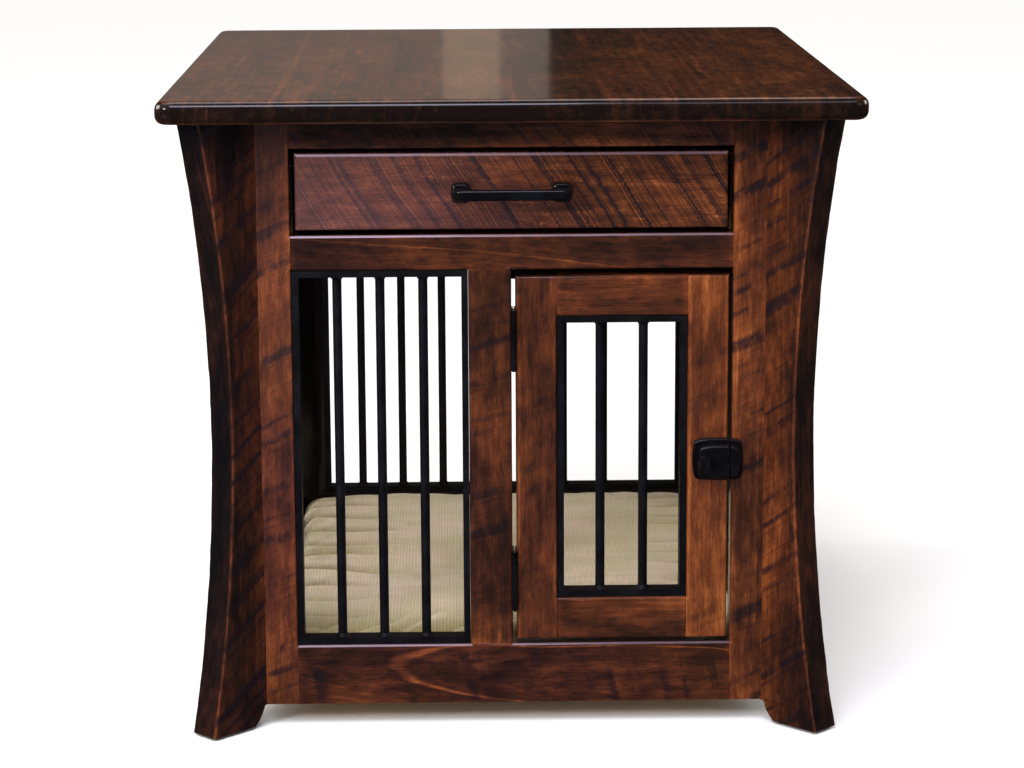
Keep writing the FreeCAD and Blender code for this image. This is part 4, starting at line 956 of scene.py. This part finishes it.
    # the filling is fullest in the middle and thins to the edges and corners
    ex = np.clip((half_x - np.abs(px)) / 0.11, 0, 1)
    ey = np.clip((half_y - np.abs(py)) / 0.16, 0, 1)
    ex, ey = ex * (2 - ex), ey * (2 - ey)
    push += top * (0.0042 - 0.0030 * (1 - ex) - 0.0025 * (1 - ey))
    for x0, y0, ux, uy, long, deep, fat in creases:
        size_u = math.hypot(ux, uy)
        ux, uy = ux / size_u, uy / size_u
        along_c = (px - x0) * ux + (py - y0) * uy
        off_c = -(px - x0) * uy + (py - y0) * ux
        off_c = off_c + 0.003 * np.sin(along_c * 60.0 + y0 * 91.0 + x0 * 77.0)
        if ux < 0:
            off_c = -off_c
        reach = np.clip(1.0 - np.maximum(0.0, along_c - 0.028) / long, 0, 1)
        reach = reach * reach * (3 - 2 * reach) * (along_c > -0.02)
        shape = -np.exp(-(off_c / fat) ** 2) + 0.55 * np.exp(-((off_c + 2.3 * fat) / (1.7 * fat)) ** 2)
        push += 1.15 * deep * shape * reach * top
        # painted shade along each crease and beside its ridge, stored for the fabric's colour
        line = np.exp(-((off_c / (0.55 * fat)) ** 2)) + 0.75 * np.exp(-(((off_c - 1.6 * fat) / (2.4 * fat)) ** 2))
        crease_shade += (deep / 0.0055) * line * reach * top
    # broad soft unevenness of the filling
    for k in range(7):
        kx, ky = rng.uniform(8, 38), rng.uniform(14, 70)
        p0, p1 = rng.uniform(0, 6.28, 2)
        push += (0.0011 / (1 + 0.4 * k)) * np.sin(px * kx + p0) * np.sin(py * ky + p1) * top
    co += nrm * push[:, None]
    # it lies flat on the floor panel and keeps clear of the frames
    low = z0 + 0.0002
    co[:, 2] = np.maximum(co[:, 2], low)
    crown = z1 + 0.0015
    co[:, 2] = np.where(co[:, 2] > crown, crown + 0.0035 * np.tanh((co[:, 2] - crown) / 0.0035), co[:, 2])
    co[:, 0] = np.clip(co[:, 0], rest_lo.x - 0.0034, rest_hi.x + 0.0034)
    co[:, 1] = np.clip(co[:, 1], rest_lo.y - 0.0044, rest_hi.y + 0.0044)
    me3.vertices.foreach_set("co", co.ravel())
    me3.update()
    at = me3.attributes.get("crease_shade") or me3.attributes.new("crease_shade", "FLOAT", "POINT")
    at.data.foreach_set("value", np.clip(crease_shade, 0.0, 1.0).astype(np.float32))
    for p in me3.polygons:
        p.use_smooth = True
    me3.materials.clear()
    me3.materials.append(ribbed_fabric("cushion_fabric"))
    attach(o, "case")
    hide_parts("cushion")
    return o


make_cushion()


# ----------------------------------------------------------------------- stage
def paper(name, colour):
    """Pale studio paper; away from the lamps it is lit by its own faint glow,
    so that it stays as pale as it is near the object."""
    m = Graph(name)
    p = m.coords.outputs["Object"]
    n = m.noise(m.vmath("MULTIPLY", p, (3.0, 3.0, 3.0)), 3.0, 0.5)
    a = tuple(c * 0.985 for c in colour[:3]) + (1.0,)
    far = m.span(m.vmath("LENGTH", p), 1.2, 4.5, 0.0, 0.42)
    m.put(m.bsdf.inputs["Emission Strength"], far)
    m.bsdf.inputs["Emission Color"].default_value = (1.0, 1.0, 1.0, 1.0)
    return m.shade(m.mix(n, a, colour), 0.62, None, Specular_IOR_Level=0.2)


bm = bmesh.new()
corners = [(-26.0, -26.0), (26.0, -26.0), (26.0, 26.0), (-26.0, 26.0)]
bm.faces.new([bm.verts.new((x, y, 0.0)) for x, y in corners])
bmesh.ops.subdivide_edges(bm, edges=bm.edges[:], cuts=12, use_grid_fill=True)
floor = new_object("floor", bm)
floor.data.materials.append(paper("pale_floor", (0.86, 0.86, 0.86, 1.0)))
floor.visible_glossy = False     # the varnish mirrors only the soft boxes


def lamp(name, at, aim, size, power, tint, spread=180.0):
    d = bpy.data.lights.new(name, "AREA")
    d.shape = "RECTANGLE"
    d.size, d.size_y = size
    d.energy = power
    d.color = tint
    d.spread = math.radians(spread)
    o = bpy.data.objects.new(name, d)
    bpy.context.scene.collection.objects.link(o)
    o.location = at
    o.rotation_mode = "QUATERNION"
    o.rotation_quaternion = (Vector(aim) - Vector(at)).to_track_quat("-Z", "Y")
    return o


lamp("front_top", (-0.75, -1.75, 2.45), (0, -0.3, 0.4), (3.0, 2.5), 98.0, (0.97, 0.96, 1.0)).visible_glossy = False
lamp("front_glint", (-0.30, -1.80, 2.40), (-0.1, -0.3, 0.5), (0.95, 0.75), 19.0, (0.78, 0.80, 1.0))
lamp("front_glow", (0.75, -1.85, 2.35), (0.2, -0.3, 0.5), (1.0, 0.6), 3.5, (0.85, 0.80, 1.0))
lamp("overhead", (-0.3, 0.6, 2.9), (0, 0, 0.3), (2.4, 1.2), 22.0, (0.97, 0.98, 1.0))
lamp("key_left", (-2.3, -2.9, 1.7), (0, 0, 0.35), (0.6, 0.6), 62.0, (1.0, 0.96, 0.91))
lamp("fill_right", (2.6, -2.8, 1.4), (0, 0, 0.35), (1.4, 1.4), 6.0, (1.0, 0.97, 0.94))
lamp("side_left", (-2.8, 0.3, 1.5), (0, 0, 0.1), (1.2, 1.2), 34.0, (1.0, 0.98, 0.95))
lamp("side_right", (2.8, 0.3, 1.5), (0, 0, 0.1), (1.2, 1.2), 26.0, (1.0, 0.98, 0.95))
lamp("behind_wide", (-0.8, 3.2, 1.05), (-0.65, 0, 0.62), (1.9, 0.9), 0.84, (1.0, 0.84, 0.74))
lamp("behind_band", (-0.02, 3.1, 1.05), (-0.02, 0, 0.62), (0.12, 0.9), 0.045, (1.0, 0.72, 0.45))

world = bpy.data.worlds.new("studio")
bpy.context.scene.world = world
world.use_nodes = True
wt = world.node_tree
bg = wt.nodes["Background"]
bg.inputs[0].default_value = (1.0, 0.99, 0.97, 1.0)
path = wt.nodes.new("ShaderNodeLightPath")
dim = wt.nodes.new("ShaderNodeMapRange")
dim.inputs["To Min"].default_value = 0.72     # soft light from all round
dim.inputs["To Max"].default_value = 0.012    # but next to nothing to mirror
wt.links.new(path.outputs["Is Glossy Ray"], dim.inputs["Value"])
seen = wt.nodes.new("ShaderNodeMix")
seen.data_type = "FLOAT"
wt.links.new(path.outputs["Is Camera Ray"], seen.inputs[0])
wt.links.new(dim.outputs[0], seen.inputs[2])
seen.inputs[3].default_value = 0.86
wt.links.new(seen.outputs[0], bg.inputs[1])

# ---------------------------------------------------------------------- camera
cam = bpy.data.cameras.new("camera")
cam.sensor_fit = "HORIZONTAL"
cam.sensor_width = 36.0
cam.lens = 2947.63 * 36.0 / 1024.0
cam.clip_start, cam.clip_end = 0.05, 60.0
eye = bpy.data.objects.new("camera", cam)
bpy.context.scene.collection.objects.link(eye)
right_v = Vector((0.99980271, -0.01917281, -0.00518997))
up_v = Vector((0.00896747, 0.20255395, 0.97923004))
ahead = Vector((0.01772334, 0.9790834, -0.20268592))
back_v = -ahead
rot = Matrix(((right_v.x, up_v.x, back_v.x), (right_v.y, up_v.y, back_v.y), (right_v.z, up_v.z, back_v.z)))
eye.matrix_world = Matrix.Translation((-0.050754, -3.091324, 0.912810)) @ rot.to_4x4()
bpy.context.scene.camera = eye
bpy.context.scene.view_settings.view_transform = "Standard"
bpy.context.scene.view_settings.look = "None"
